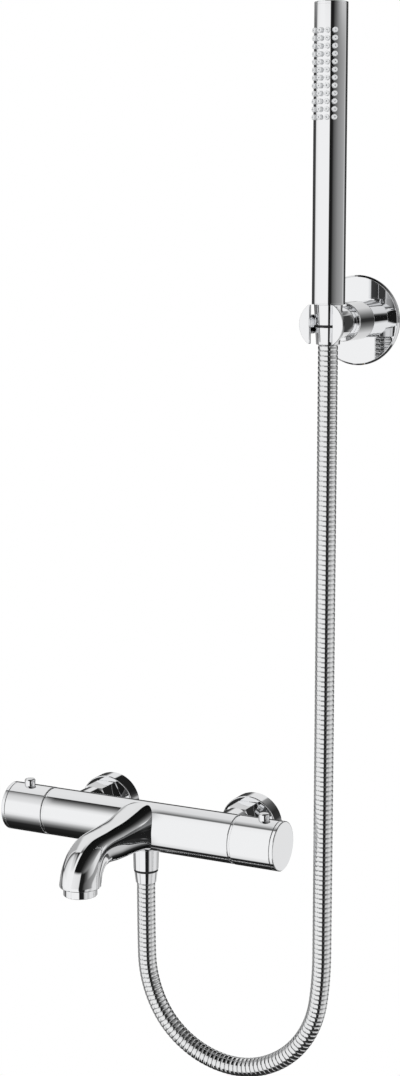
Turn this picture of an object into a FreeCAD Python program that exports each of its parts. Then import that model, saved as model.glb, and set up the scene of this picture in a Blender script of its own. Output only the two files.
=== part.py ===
import FreeCAD, Part
import math
import os

import Sketcher

# Wall-mounted thermostatic bath mixer with a spout, a ribbed hose, a stick handset and its wall holder.
# Frame: origin on the wall midway between the two wall inlets, +X to the right, +Z up, -Y into the room.
# Lengths are millimetres and angles are degrees.

doc = FreeCAD.newDocument("ThermostaticMixer")
sheet = doc.addObject("Spreadsheet::Sheet", "Sizes")
pieces = {}
Vector = FreeCAD.Vector
Rotation = FreeCAD.Rotation


class Dim:
    """A size: its number together with the expression that gives it from the sheet."""

    def __init__(self, value, text):
        self.value = value
        self.text = text

    @staticmethod
    def of(other):
        return other if isinstance(other, Dim) else Dim(float(other), repr(float(other)))

    def __add__(self, other):
        other = Dim.of(other)
        return Dim(self.value + other.value, "(" + self.text + " + " + other.text + ")")

    def __sub__(self, other):
        other = Dim.of(other)
        return Dim(self.value - other.value, "(" + self.text + " - " + other.text + ")")

    def __mul__(self, other):
        other = Dim.of(other)
        return Dim(self.value * other.value, "(" + self.text + " * " + other.text + ")")

    def __truediv__(self, other):
        other = Dim.of(other)
        return Dim(self.value / other.value, "(" + self.text + " / " + other.text + ")")

    def __neg__(self):
        return Dim(-self.value, "(0 - " + self.text + ")")

    def __radd__(self, other):
        return Dim.of(other) + self

    def __rsub__(self, other):
        return Dim.of(other) - self

    def __rmul__(self, other):
        return Dim.of(other) * self


def size(alias, value):
    """Write one driving size into the sheet under its alias."""
    row = size.row = getattr(size, "row", 0) + 1
    sheet.set("A" + str(row), alias.replace("_", " "))
    sheet.set("B" + str(row), str(value))
    sheet.setAlias("B" + str(row), alias)
    return Dim(float(value), "Sizes." + alias)


ZERO = Dim(0.0, "0")
TURNS = {
    "+X": Vector(1, 0, 0), "-X": Vector(-1, 0, 0), "+Y": Vector(0, 1, 0),
    "-Y": Vector(0, -1, 0), "+Z": Vector(0, 0, 1), "-Z": Vector(0, 0, -1),
}


def place(item, axis, at, spin=0):
    """Turn an object's own Z to the axis, spin it about that axis and bind its position."""
    turn = Rotation(Vector(0, 0, 1), TURNS[axis]).multiply(Rotation(Vector(0, 0, 1), spin))
    item.Placement = FreeCAD.Placement(Vector(*(Dim.of(n).value for n in at)), turn)
    for letter, number in zip("xyz", at):
        item.setExpression("Placement.Base." + letter, Dim.of(number).text)
    return item


def step_to(start, goal, length):
    """The point a length away from start towards goal, along the radius or along the axis."""
    along_r = goal[0].value - start[0].value
    along_z = goal[1].value - start[1].value
    if abs(along_r) > abs(along_z):
        return (start[0] + length * math.copysign(1, along_r), start[1])
    return (start[0], start[1] + length * math.copysign(1, along_z))


def draw(sketch, outline):
    """A closed outline of (radius, height) corners; a third entry rounds that square corner."""
    spots = []
    for index, corner in enumerate(outline):
        if len(corner) == 2:
            spots.append((corner, corner, None))
            continue
        before = outline[index - 1]
        after = outline[(index + 1) % len(outline)]
        first = step_to(corner, before, corner[2])
        last = step_to(corner, after, corner[2])
        middle = (first[0] + last[0] - corner[0], first[1] + last[1] - corner[1])
        spots.append((first, last, middle))

    def at(point):
        return Vector(point[0].value, point[1].value, 0)

    def pin(edge, end, point):
        for kind, number in (("DistanceX", point[0]), ("DistanceY", point[1])):
            made = sketch.addConstraint(Sketcher.Constraint(kind, -1, 1, edge, end, number.value))
            sketch.setExpression("Constraints[" + str(made) + "]", number.text)

    lines = []
    for index, spot in enumerate(spots):
        goal = spots[(index + 1) % len(spots)]
        lines.append(sketch.addGeometry(Part.LineSegment(at(spot[1]), at(goal[0]))))
        pin(lines[-1], 1, spot[1])
        if goal[2] is not None:
            pin(lines[-1], 2, goal[0])
    for index, spot in enumerate(spots):
        before = lines[index - 1]
        if spot[2] is None:
            sketch.addConstraint(Sketcher.Constraint("Coincident", before, 2, lines[index], 1))
            continue
        centre = at(spot[2])
        ends = [at(spot[0]), at(spot[1])]
        angles = [math.atan2(p.y - centre.y, p.x - centre.x) for p in ends]
        left_turn = (angles[1] - angles[0]) % (2 * math.pi) < math.pi
        circle = Part.Circle(centre, Vector(0, 0, 1), (ends[0] - centre).Length)
        low, high = (angles[0], angles[1]) if left_turn else (angles[1], angles[0])
        arc = sketch.addGeometry(Part.ArcOfCircle(circle, low, high))
        into, out = (1, 2) if left_turn else (2, 1)
        sketch.addConstraint(Sketcher.Constraint("Coincident", before, 2, arc, into))
        sketch.addConstraint(Sketcher.Constraint("Coincident", arc, out, lines[index], 1))
        made = sketch.addConstraint(Sketcher.Constraint("DistanceX", -1, 1, arc, 3, centre.x))
        sketch.setExpression("Constraints[" + str(made) + "]", spot[2][0].text)


def turned(label, outline, axis, at):
    """A turned piece: its half section spun about its own axis."""
    body = doc.addObject("PartDesign::Body", "Turned")
    body.Label = label
    sketch = body.newObject("Sketcher::SketchObject", "HalfSection")
    plane = [p for p in body.Origin.OriginFeatures if p.Role == "XZ_Plane"][0]
    sketch.AttachmentSupport = [(plane, "")]
    sketch.MapMode = "FlatFace"
    draw(sketch, [tuple(Dim.of(n) for n in corner) for corner in outline])
    spin = body.newObject("PartDesign::Revolution", "Turning")
    spin.Profile = (sketch, [""])
    spin.ReferenceAxis = (sketch, ["V_Axis"])
    spin.Angle = 360
    return place(body, axis, at)


def rod(label, radius, length, axis, at):
    """A plain cylinder."""
    item = doc.addObject("Part::Cylinder", "Rod")
    item.Label = label
    item.setExpression("Radius", Dim.of(radius).text)
    item.setExpression("Height", Dim.of(length).text)
    return place(item, axis, at)


def block(label, lengths, at):
    """A plain block from its lowest corner."""
    item = doc.addObject("Part::Box", "Block")
    item.Label = label
    for name, number in zip(("Length", "Width", "Height"), lengths):
        item.setExpression(name, Dim.of(number).text)
    return place(item, "+Z", at)


def hexagon(label, across_flats, length, axis, at, spin=30):
    """A hexagonal bar of the given width across its flats."""
    item = doc.addObject("Part::Prism", "Hexagon")
    item.Label = label
    item.Polygon = 6
    item.setExpression("Circumradius", (across_flats / math.sqrt(3)).text)
    item.setExpression("Height", Dim.of(length).text)
    return place(item, axis, at, spin)


def joined(label, items):
    """Several solids grown into one."""
    item = doc.addObject("Part::MultiFuse", "Joined")
    item.Label = label
    item.Shapes = items
    return item


def cut(label, base, tool):
    """The base with the tool's room taken out."""
    item = doc.addObject("Part::Cut", "Cut")
    item.Label = label
    item.Base = base
    item.Tool = tool
    return item


def common(label, base, tool):
    """What two solids share."""
    item = doc.addObject("Part::Common", "Common")
    item.Label = label
    item.Base = base
    item.Tool = tool
    return item


def group(label, items):
    """Alike pieces kept side by side as separate solids."""
    item = doc.addObject("Part::Compound", "Group")
    item.Label = label
    item.Links = items
    return item


def keep(item):
    """Hand a finished piece in under its label."""
    pieces[item.Label] = item
    return item


# Sizes of the mixer body and of its wall unions
inlet_centres = size("inlet_centres", 150)
barrel_out = size("barrel_out", 79)
barrel_up = size("barrel_up", 7.5)
barrel_radius = size("barrel_radius", 22)
barrel_end = size("barrel_end_beyond_inlet", 20)
fit = size("fit", 0.05)
slack = size("slack", 0.3)
half_thread = size("half_inch_thread_radius", 10.48)
three_quarter_thread = size("three_quarter_thread_radius", 13.2)
half_spacing = inlet_centres / 2
barrel_half = half_spacing + barrel_end
wall_side = ((-half_spacing, "left"), (half_spacing, "right"))

# Escutcheons: cups against the wall, with a hole for the offset union
escutcheon_radius = size("escutcheon_radius", 27.4)
escutcheon_depth = size("escutcheon_depth", 15.2)
escutcheon_wall = size("escutcheon_wall", 1.2)
escutcheon_round = size("escutcheon_round", 0.8)
union_hole = three_quarter_thread + 2 * slack
for across, name in wall_side:
    cup_inside = escutcheon_radius - escutcheon_wall
    cup = turned(name + " cup", [
        (cup_inside, 0), (escutcheon_radius, 0),
        (escutcheon_radius, escutcheon_depth, escutcheon_round), (0, escutcheon_depth),
        (0, escutcheon_depth - escutcheon_wall), (cup_inside, escutcheon_depth - escutcheon_wall),
    ], "-Y", (across, 0, 0))
    opening = rod(name + " union hole", union_hole, escutcheon_depth + escutcheon_wall, "-Y",
                  (across, 0, barrel_up))
    keep(cut("escutcheon_" + name, cup, opening))

# Offset unions: a half inch tail in the wall and a three quarter inch end 7.5 mm higher
tail_length = size("tail_length", 25)
tail_bore = size("tail_bore_radius", 7)
union_bore = size("union_bore_radius", 9.5)
drum_radius = size("drum_radius", 18)
drum_back = size("drum_back", 2)
union_reach = size("union_reach", 33)
drum_front = escutcheon_depth - escutcheon_wall
for across, name in wall_side:
    tail = rod(name + " tail", half_thread, tail_length + drum_back, "-Y", (across, tail_length, 0))
    drum = rod(name + " drum", drum_radius, drum_front - drum_back, "-Y",
               (across, -drum_back, barrel_up / 2))
    front = rod(name + " front", three_quarter_thread, union_reach - drum_back, "-Y",
                (across, -drum_back, barrel_up))
    back_way = rod(name + " back way", tail_bore, tail_length + drum_front / 2 + 1, "-Y",
                   (across, tail_length, 0))
    front_way = rod(name + " front way", union_bore, union_reach - drum_front / 2 + 1, "-Y",
                    (across, -drum_front / 2, barrel_up))
    solid = joined(name + " union solid", [tail, drum, front])
    ways = joined(name + " union ways", [back_way, front_way])
    keep(cut("s_union_" + name, solid, ways))

# Union nuts, nipples, washers and non-return valves between the unions and the body
nut_flats = size("union_nut_across_flats", 30)
nut_back = escutcheon_depth + slack
nut_lip = size("union_nut_lip", 2.5)
washer_thick = size("inlet_washer_thickness", 2)
collar_thick = size("nipple_collar_thickness", 3)
collar_radius = size("nipple_collar_radius", 12.6)
nipple_radius = size("nipple_radius", 10.5)
nipple_bore = size("nipple_bore_radius", 7)
nipple_depth = size("nipple_depth", 10)
nut_chamfer = size("union_nut_chamfer", 1.3)
washer_front = union_reach + washer_thick
collar_front = washer_front + collar_thick
nut_front = collar_front + nut_lip
boss_face = nut_front + slack
nipple_end = boss_face + nipple_depth
nut_corner = nut_flats / math.sqrt(3)
nuts, nipples, washers, valves = [], [], [], []
for across, name in wall_side:
    at = (across, 0, barrel_up)
    ring = turned(name + " nut ring", [
        (three_quarter_thread + fit, nut_back), (nut_corner - nut_chamfer, nut_back),
        (nut_corner, nut_back + nut_chamfer), (nut_corner, nut_front - nut_chamfer),
        (nut_corner - nut_chamfer, nut_front), (nipple_radius + fit, nut_front),
        (nipple_radius + fit, collar_front), (three_quarter_thread + fit, collar_front),
    ], "-Y", at)
    bar = hexagon(name + " nut bar", nut_flats, nut_front - nut_back, "-Y",
                  (across, -nut_back, barrel_up))
    nuts.append(common(name + " nut", ring, bar))
    nipples.append(turned(name + " nipple", [
        (nipple_bore, washer_front), (collar_radius, washer_front), (collar_radius, collar_front),
        (nipple_radius, collar_front), (nipple_radius, nipple_end), (nipple_bore, nipple_end),
    ], "-Y", at))
    washers.append(turned(name + " washer", [
        (union_bore, union_reach), (collar_radius, union_reach), (collar_radius, washer_front),
        (union_bore, washer_front),
    ], "-Y", at))
    inlet_valve_length = nipple_end - washer_front - 2 * slack
    valves.append(turned(name + " valve", [
        (ZERO, washer_front + slack), (nipple_bore, washer_front + slack),
        (nipple_bore, washer_front + slack + inlet_valve_length),
        (nipple_bore / 2, washer_front + slack + inlet_valve_length), (ZERO, nipple_end + slack),
    ], "-Y", at))
keep(group("union_nuts", nuts))
keep(group("inlet_nipples", nipples))
keep(group("inlet_washers", washers))
keep(group("inlet_check_valves", valves))

# Handles, cartridges and buttons: the same turned pieces on both ends, measured from the middle
cartridge_radius = size("cartridge_radius", 17.5)
cartridge_back = size("cartridge_back_of_inlet", 24)
ring_nut_width = size("ring_nut_width", 6)
neck_radius = size("cartridge_neck_radius", 13)
neck_stand = size("cartridge_neck_stand", 9)
spindle_radius = size("spindle_radius", 5)
spindle_depth = size("spindle_depth", 9)
waist_radius = size("cartridge_waist_radius", 14)
waist_back = size("cartridge_waist_back", 9)
waist_front = size("cartridge_waist_front", 6)
seal_depth = size("cartridge_seal_depth", 1.7)
seal_width = size("cartridge_seal_width", 2)
seal_inset = size("cartridge_seal_inset", 6)
stop_inset = size("stop_ring_inset", 0.7)
stop_thick = size("stop_ring_thickness", 2.1)
handle_step = size("handle_step", 0.2)
shell_wall = size("handle_wall", 2.7)
handle_length = size("handle_length", 42.4)
shell_round = size("handle_edge_round", 0.4)
cap_thick = size("cap_thickness", 3.5)
cap_gap = size("cap_gap", 0.35)
cap_round = size("cap_edge_round", 0.7)
cap_spigot = size("cap_spigot_length", 3)
hub_radius = size("hub_radius", 9)
hub_web = size("hub_web", 3)
hub_floor = size("hub_floor", 4)
web_gap = size("web_gap", 2)
screw_radius = size("handle_screw_radius", 2)
screw_head = size("handle_screw_head_radius", 4)
screw_head_high = size("handle_screw_head_height", 3)
screw_grip = size("handle_screw_grip", 11)
screw_key = size("handle_screw_key_radius", 1.6)
screw_room = size("handle_screw_room", 3)
button_radius = size("button_radius", 5)
button_proud = size("button_proud", 5.5)
button_flange = size("button_flange_radius", 6.3)
button_flange_thick = size("button_flange_thickness", 1.5)
button_round = size("button_edge_round", 0.9)
spring_radius = size("button_spring_radius", 3.5)
spring_wire = size("button_spring_wire", 0.6)

cartridge_foot = half_spacing - cartridge_back
cartridge_shoulder = barrel_half - ring_nut_width
neck_end = barrel_half + neck_stand
spindle_foot = cartridge_shoulder - spindle_depth
web_start = neck_end + web_gap
handle_start = barrel_half + stop_thick
shell_radius = barrel_radius + handle_step
stop_radius = barrel_radius - stop_inset
shell_inside = shell_radius - shell_wall
shell_end = handle_start + handle_length - cap_thick - cap_gap
cap_back = handle_start + handle_length - cap_thick
spigot_back = cap_back - cap_spigot
hub_end = spigot_back - screw_room - screw_head_high
spindle_end = hub_end - hub_floor
button_out = (web_start + hub_web + spigot_back) / 2
flange_top = Dim((shell_inside.value ** 2 - button_flange.value ** 2) ** 0.5,
                 "sqrt(" + shell_inside.text + "^2 - " + button_flange.text + "^2)") - slack
flange_low = flange_top - button_flange_thick
barrel_at = (0, -barrel_out, barrel_up)
seals, ring_nuts, stop_rings = [], [], []
for direction, sign, name in (("-X", -1, "flow"), ("+X", 1, "temperature")):
    low_seal = cartridge_foot + seal_inset
    high_seal = cartridge_shoulder - seal_inset + seal_width
    groove_radius = cartridge_radius - seal_depth
    keep(turned(name + "_cartridge", [
        (ZERO, cartridge_foot), (cartridge_radius, cartridge_foot), (cartridge_radius, low_seal),
        (groove_radius, low_seal), (groove_radius, low_seal + seal_width),
        (cartridge_radius, low_seal + seal_width), (cartridge_radius, half_spacing - waist_back),
        (waist_radius, half_spacing - waist_back), (waist_radius, half_spacing + waist_front),
        (cartridge_radius, half_spacing + waist_front), (cartridge_radius, high_seal),
        (groove_radius, high_seal), (groove_radius, high_seal + seal_width),
        (cartridge_radius, high_seal + seal_width), (cartridge_radius, cartridge_shoulder),
        (neck_radius, cartridge_shoulder), (neck_radius, neck_end),
        (spindle_radius + fit, neck_end), (spindle_radius + fit, spindle_foot),
        (ZERO, spindle_foot),
    ], direction, barrel_at))
    for start in (low_seal, high_seal):
        seals.append(turned(name + " seal", [
            (groove_radius, start), (cartridge_radius, start),
            (cartridge_radius, start + seal_width), (groove_radius, start + seal_width),
        ], direction, barrel_at))
    ring_nuts.append(turned(name + " ring nut", [
        (neck_radius + fit, cartridge_shoulder), (cartridge_radius, cartridge_shoulder),
        (cartridge_radius, barrel_half), (neck_radius + fit, barrel_half),
    ], direction, barrel_at))
    stop_rings.append(turned(name + " stop ring", [
        (neck_radius + fit, barrel_half), (stop_radius, barrel_half),
        (stop_radius, handle_start - slack), (neck_radius + fit, handle_start - slack),
    ], direction, barrel_at))
    keep(turned(name + "_spindle", [
        (ZERO, spindle_foot + slack), (spindle_radius, spindle_foot + slack),
        (spindle_radius, spindle_end), (screw_radius, spindle_end),
        (screw_radius, spindle_end - screw_grip), (ZERO, spindle_end - screw_grip),
    ], direction, barrel_at))
    shell = turned(name + " shell", [
        (spindle_radius, neck_end + slack), (hub_radius, neck_end + slack), (hub_radius, web_start),
        (shell_inside, web_start), (shell_inside, handle_start),
        (shell_radius, handle_start, shell_round), (shell_radius, shell_end, shell_round),
        (shell_inside, shell_end), (shell_inside, web_start + hub_web),
        (hub_radius, web_start + hub_web), (hub_radius, hub_end), (screw_radius + fit, hub_end),
        (screw_radius + fit, spindle_end), (spindle_radius, spindle_end),
    ], direction, barrel_at)
    button_at = (sign * button_out, -barrel_out, barrel_up)
    button_way = rod(name + " button way", button_radius + 3 * fit, shell_radius - hub_radius,
                     "+Z", (sign * button_out, -barrel_out, barrel_up + hub_radius + slack))
    keep(cut(name + "_handle_shell", shell, button_way))
    keep(turned(name + "_handle_cap", [
        (ZERO, spigot_back), (shell_inside - fit, spigot_back),
        (shell_inside - fit, cap_back), (shell_radius, cap_back),
        (shell_radius, cap_back + cap_thick, cap_round), (ZERO, cap_back + cap_thick),
    ], direction, barrel_at))
    keep(turned(name + "_handle_screw", [
        (ZERO, spindle_end - screw_grip + 1), (screw_radius, spindle_end - screw_grip + 1),
        (screw_radius, hub_end), (screw_head, hub_end), (screw_head, hub_end + screw_head_high),
        (screw_key, hub_end + screw_head_high), (screw_key, hub_end + 1), (ZERO, hub_end + 1),
    ], direction, barrel_at))
    button_top = shell_radius + button_proud
    keep(turned(name + "_button", [
        (ZERO, flange_low), (button_flange, flange_low), (button_flange, flange_top),
        (button_radius, flange_top), (button_radius, button_top, button_round),
        (ZERO, button_top),
    ], "+Z", button_at))
    keep(turned(name + "_button_spring", [
        (spring_radius - spring_wire, hub_radius), (spring_radius, hub_radius),
        (spring_radius, flange_low), (spring_radius - spring_wire, flange_low),
    ], "+Z", button_at))
keep(group("cartridge_seals", seals))
keep(group("cartridge_nuts", ring_nuts))
keep(group("stop_rings", stop_rings))

# Spout: rounded box sections that run forward from the body, then turn down about a pivot
spout_reach = size("spout_reach", 88)
pivot_down = size("spout_pivot_below_axis", 21)
spout_square = size("spout_squareness", 3)
mouth_radius = size("spout_mouth_radius", 18.2)
mouth_reach = size("spout_mouth_reach", 26.6)
mouth_lip = size("spout_lip", 2)
mouth_round = size("spout_lip_round", 1)
straight = []
for number, row in enumerate(((0, 21.8, 20.5, 20.8), (11, 21.5, 20, 20.5), (23, 19.7, 17.3, 19.5),
                              (39, 17.5, 15.5, 18), (66, 16.4, 13.2, 17), (88, 15.8, 11.2, 16.3))):
    tag = "spout_station_" + "abcdef"[number]
    out = size(tag + "_out", row[0]) if row[0] < 88 else spout_reach
    straight.append((out, size(tag + "_above_axis", row[1]), size(tag + "_below_axis", row[2]),
                     size(tag + "_half_width", row[3])))
bend = []
for number, row in enumerate(((37.7, 9.3, 16.3), (39.6, 8.7, 16.8), (42, 8.4, 17.4))):
    tag = "spout_bend_" + "abc"[number]
    bend.append((size(tag + "_outer", row[0]), size(tag + "_inner", row[1]),
                 size(tag + "_half_width", row[2])))


def rounded_section(centre, up, half_width, half_height, square, count=24):
    """A closed curve |x/w|^n + |v/h|^n = 1 in the plane of X and the given upward direction."""
    points = []
    for index in range(count):
        angle = 2 * math.pi * (index + 0.5) / count
        c, s = math.cos(angle), math.sin(angle)
        x = half_width * math.copysign(abs(c) ** (2 / square), c)
        v = half_height * math.copysign(abs(s) ** (2 / square), s)
        points.append(centre + Vector(x, 0, 0) + up * v)
    curve = Part.BSplineCurve()
    curve.interpolate(points, PeriodicFlag=True)
    return Part.Wire([curve.toShape()])


def spout_solid():
    """The loft through all sections, from inside the body to the round mouth."""
    wires = []
    pivot = Vector(0, -pivot_out.value, barrel_up.value - pivot_down.value)
    for out, above, below, half in straight:
        middle = barrel_up.value + (above.value - below.value) / 2
        wires.append(rounded_section(Vector(0, -barrel_out.value - out.value, middle), Vector(0, 0, 1),
                                     half.value, (above.value + below.value) / 2, spout_square.value))
    rows = [(r[0].value, r[1].value, r[2].value) for r in bend]
    rows.append((mouth_reach.value + mouth_radius.value, mouth_reach.value - mouth_radius.value,
                 mouth_radius.value))
    for index, (outer, inner, half) in enumerate(rows):
        share = (index + 1) / len(rows)
        turn = math.radians(90 * share)
        outward = Vector(0, -math.sin(turn), math.cos(turn))
        square = spout_square.value - (spout_square.value - 2) * share
        wires.append(rounded_section(pivot + outward * ((outer + inner) / 2), outward, half,
                                     (outer - inner) / 2, square))
    loft = Part.makeLoft(wires, True, False)
    below = wires[-1].copy()
    below.translate(Vector(0, 0, -mouth_lip.value))
    lip = Part.makeLoft([wires[-1], below], True, True)
    lowest = lip.BoundBox.ZMin + 0.01 * mouth_lip.value
    rim = [e for e in lip.Edges if e.BoundBox.ZMax < lowest]
    return loft.fuse(lip.makeFillet(mouth_round.value, rim))


pivot_out = barrel_out + spout_reach
spout = doc.addObject("Part::Feature", "Spout")
spout.Label = "spout solid"
spout.Shape = spout_solid()
mouth_out = pivot_out + mouth_reach
mouth_face = pivot_down + mouth_lip

# Aerator under the spout's mouth: threaded ring, flow insert and seal
aerator_bore = size("aerator_bore_radius", 14)
aerator_depth = size("aerator_bore_depth", 10.5)
aerator_radius = size("aerator_ring_radius", 14.8)
aerator_proud = size("aerator_ring_proud", 7.5)
aerator_insert = size("aerator_insert_radius", 11.4)
aerator_lip = size("aerator_lip", 1)
aerator_round = size("aerator_edge_round", 0.6)
aerator_seal = size("aerator_seal_thickness", 2)
seat_down = mouth_face - aerator_depth
thread_top = seat_down + aerator_seal
ring_low = mouth_face + aerator_proud
under_mouth = (0, -mouth_out, barrel_up)
keep(turned("aerator_ring", [
    (aerator_insert + fit, thread_top), (aerator_bore, thread_top), (aerator_bore, mouth_face),
    (aerator_radius, mouth_face), (aerator_radius, ring_low, aerator_round),
    (aerator_insert - aerator_lip, ring_low), (aerator_insert - aerator_lip, ring_low - aerator_lip),
    (aerator_insert + fit, ring_low - aerator_lip),
], "-Z", under_mouth))
keep(turned("aerator_insert", [
    (ZERO, thread_top), (aerator_insert, thread_top), (aerator_insert, ring_low - aerator_lip),
    (aerator_insert * 0.8, ring_low - aerator_lip), (aerator_insert * 0.8, ring_low - 2 * aerator_lip),
    (ZERO, ring_low - 2 * aerator_lip),
], "-Z", under_mouth))
keep(turned("aerator_seal", [
    (aerator_insert * 0.8, seat_down), (aerator_bore - fit, seat_down), (aerator_bore - fit, thread_top),
    (aerator_insert * 0.8, thread_top),
], "-Z", under_mouth))

# Shower outlet under the body: threaded stub with its own non-return valve
outlet_behind = size("outlet_behind_axis", 4)
stub_length = size("outlet_stub_length", 12.5)
stub_bore = size("outlet_stub_bore_radius", 7)
valve_length = size("outlet_valve_length", 14.7)
valve_nose = size("outlet_valve_nose", 2)
outlet_out = barrel_out - outlet_behind
stub_low = barrel_radius + stub_length
under_body = (0, -outlet_out, barrel_up)
stub = rod("outlet stub", half_thread, stub_low, "-Z", under_body)
valve_top = stub_low - slack - valve_length
keep(turned("outlet_check_valve", [
    (ZERO, valve_top - valve_nose), (stub_bore / 2, valve_top), (stub_bore, valve_top),
    (stub_bore, stub_low - slack), (ZERO, stub_low - slack),
], "-Z", under_body))

# Body casting: barrel, spout, inlet bosses and outlet stub, with its waterways
boss_radius = size("inlet_boss_radius", 16)
middle_way = size("middle_way_radius", 10)
spout_way = size("spout_way_radius", 6.5)
spout_way_low = size("spout_way_below_axis", 0.5)
spout_way_short = size("spout_way_short_of_mouth", 3.6)
spout_way_end = mouth_out - spout_way_short
spout_way_at = barrel_up - spout_way_low
barrel = rod("barrel", barrel_radius, 2 * barrel_half, "+X", (-barrel_half, -barrel_out, barrel_up))
parts = [barrel, spout, stub]
ways = [
    rod("middle way", middle_way, 2 * cartridge_foot, "+X",
        (-cartridge_foot, -barrel_out, barrel_up)),
    rod("spout way", spout_way, spout_way_end - barrel_out, "-Y", (0, -barrel_out, spout_way_at)),
    rod("spout drop", spout_way, seat_down - spout_way_low + 1, "-Z",
        (0, -spout_way_end, spout_way_at)),
    rod("aerator bore", aerator_bore, aerator_depth + 1, "-Z", (0, -mouth_out, barrel_up - seat_down)),
    rod("outlet way", stub_bore, stub_low + 1, "-Z", under_body),
]
for direction, sign in (("-X", -1), ("+X", 1)):
    ways.append(rod("cartridge bore", cartridge_radius, barrel_half - cartridge_foot + 1, direction,
                    (sign * cartridge_foot, -barrel_out, barrel_up)))
    parts.append(rod("inlet boss", boss_radius, barrel_out - boss_face, "-Y",
                     (sign * half_spacing, -boss_face, barrel_up)))
    ways.append(rod("nipple bore", nipple_radius, nipple_depth + 1, "-Y",
                    (sign * half_spacing, 1 - boss_face, barrel_up)))
    ways.append(rod("inlet way", nipple_bore, barrel_out - nipple_end, "-Y",
                    (sign * half_spacing, -nipple_end, barrel_up)))
casting_solid = joined("casting solid", parts)
casting_ways = joined("casting ways", ways)
keep(cut("body_casting", casting_solid, casting_ways))

# Lower end of the hose: nut on the stub, dark ring, ferrule, washer and insert
hose_radius = size("hose_radius", 8.4)
hose_bore = size("hose_bore_radius", 4.5)
groove_radius = size("hose_groove_radius", 7.6)
insert_radius = size("hose_insert_radius", 6)
insert_flange = size("hose_insert_flange_radius", 10.2)
insert_flange_thick = size("hose_insert_flange_thickness", 2)
hose_washer = size("hose_washer_thickness", 2)
lower_nut_radius = size("lower_nut_top_radius", 11.9)
lower_nut_foot_radius = size("lower_nut_foot_radius", 11.45)
lower_nut_length = size("lower_nut_length", 20)
dark_ring = size("dark_ring_thickness", 2)
dark_ring_radius = size("dark_ring_radius", 11.1)
lower_ferrule_radius = size("lower_ferrule_radius", 10.7)
lower_ferrule_foot_radius = size("lower_ferrule_foot_radius", 9.4)
lower_ferrule_length = size("lower_ferrule_length", 10.7)
lower_nut_top = barrel_radius + slack
lower_nut_low = lower_nut_top + lower_nut_length
lower_insert_top = stub_low + hose_washer
lower_flange_low = lower_insert_top + insert_flange_thick
ring_low = lower_nut_low + dark_ring
hose_start = ring_low + lower_ferrule_length
keep(turned("lower_hose_nut", [
    (half_thread + fit, lower_nut_top), (lower_nut_radius, lower_nut_top),
    (lower_nut_foot_radius, lower_nut_low), (insert_radius + fit, lower_nut_low),
    (insert_radius + fit, lower_flange_low), (half_thread + fit, lower_flange_low),
], "-Z", under_body))
keep(turned("lower_hose_washer", [
    (insert_radius, stub_low), (insert_flange, stub_low), (insert_flange, lower_insert_top),
    (insert_radius, lower_insert_top),
], "-Z", under_body))
keep(turned("lower_hose_insert", [
    (hose_bore, lower_insert_top), (insert_flange, lower_insert_top),
    (insert_flange, lower_flange_low), (insert_radius, lower_flange_low),
    (insert_radius, hose_start), (hose_bore, hose_start),
], "-Z", under_body))
keep(turned("lower_dark_ring", [
    (insert_radius + fit, lower_nut_low), (dark_ring_radius, lower_nut_low),
    (dark_ring_radius, ring_low), (insert_radius + fit, ring_low),
], "-Z", under_body))
keep(turned("lower_ferrule", [
    (insert_radius + fit, ring_low), (lower_ferrule_radius, ring_low),
    (lower_ferrule_foot_radius, hose_start), (insert_radius + fit, hose_start),
], "-Z", under_body))

# Wall holder: plate with its fixings, rosette, hollow post and grub screw
holder_across = size("holder_across", 172)
holder_up = size("holder_up", 465.8)
plate_radius = size("wall_plate_radius", 13.9)
plate_thick = size("wall_plate_thickness", 9)
fixing_spacing = size("fixing_spacing", 14)
fixing_radius = size("fixing_screw_radius", 2)
fixing_head = size("fixing_head_radius", 3.8)
fixing_head_high = size("fixing_head_height", 2.6)
fixing_length = size("fixing_length", 30)
plug_radius = size("wall_plug_radius", 3)
plug_length = size("wall_plug_length", 32)
rosette_radius = size("rosette_radius", 39.1)
rosette_thick = size("rosette_thickness", 3)
rosette_bevel = size("rosette_bevel", 1.5)
post_radius = size("post_radius", 16.5)
post_wall = size("post_wall", 2.5)
post_front = size("post_front", 34.8)
post_face = size("post_face_thickness", 4)
post_round = size("post_edge_round", 0.6)
grub_radius = size("grub_screw_radius", 2)
grub_back = size("grub_screw_back", 6)
grub_depth = size("grub_screw_key_depth", 1)
holder_at = (holder_across, 0, holder_up)
post_inside = post_radius - post_wall
pivot_radius = size("pivot_radius", 6)
head_floor = plate_thick - fixing_head_high
plate = turned("plate disc", [
    (ZERO, 0), (plate_radius, 0), (plate_radius, plate_thick), (ZERO, plate_thick),
], "-Y", holder_at)
fixings, plugs, sockets = [], [], []
for sign in (-1, 1):
    at = (holder_across, 0, holder_up + sign * fixing_spacing / 2)
    fixings.append(turned("fixing screw", [
        (ZERO, -fixing_length), (fixing_radius, 2 - fixing_length), (fixing_radius, head_floor),
        (fixing_head, head_floor), (fixing_head, plate_thick), (fixing_radius / 2, plate_thick),
        (fixing_radius / 2, head_floor + 1), (ZERO, head_floor + 1),
    ], "-Y", at))
    plugs.append(turned("wall plug", [
        (ZERO, -plug_length), (plug_radius, -plug_length), (plug_radius, 0), (fixing_radius, 0),
        (fixing_radius, 2 - fixing_length), (ZERO, -fixing_length),
    ], "-Y", at))
    sockets.append(turned("fixing hole", [
        (ZERO, -1), (fixing_radius + fit, -1), (fixing_radius + fit, head_floor),
        (fixing_head + fit, head_floor), (fixing_head + fit, plate_thick + 1), (ZERO, plate_thick + 1),
    ], "-Y", at))
keep(cut("wall_plate", plate, joined("fixing holes", sockets)))
keep(group("fixing_screws", fixings))
keep(group("wall_plugs", plugs))
keep(turned("rosette", [
    (plate_radius + fit, 0), (rosette_radius, 0), (rosette_radius, rosette_thick - rosette_bevel),
    (rosette_radius - rosette_bevel, rosette_thick), (plate_radius + fit, rosette_thick),
], "-Y", holder_at))
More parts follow.
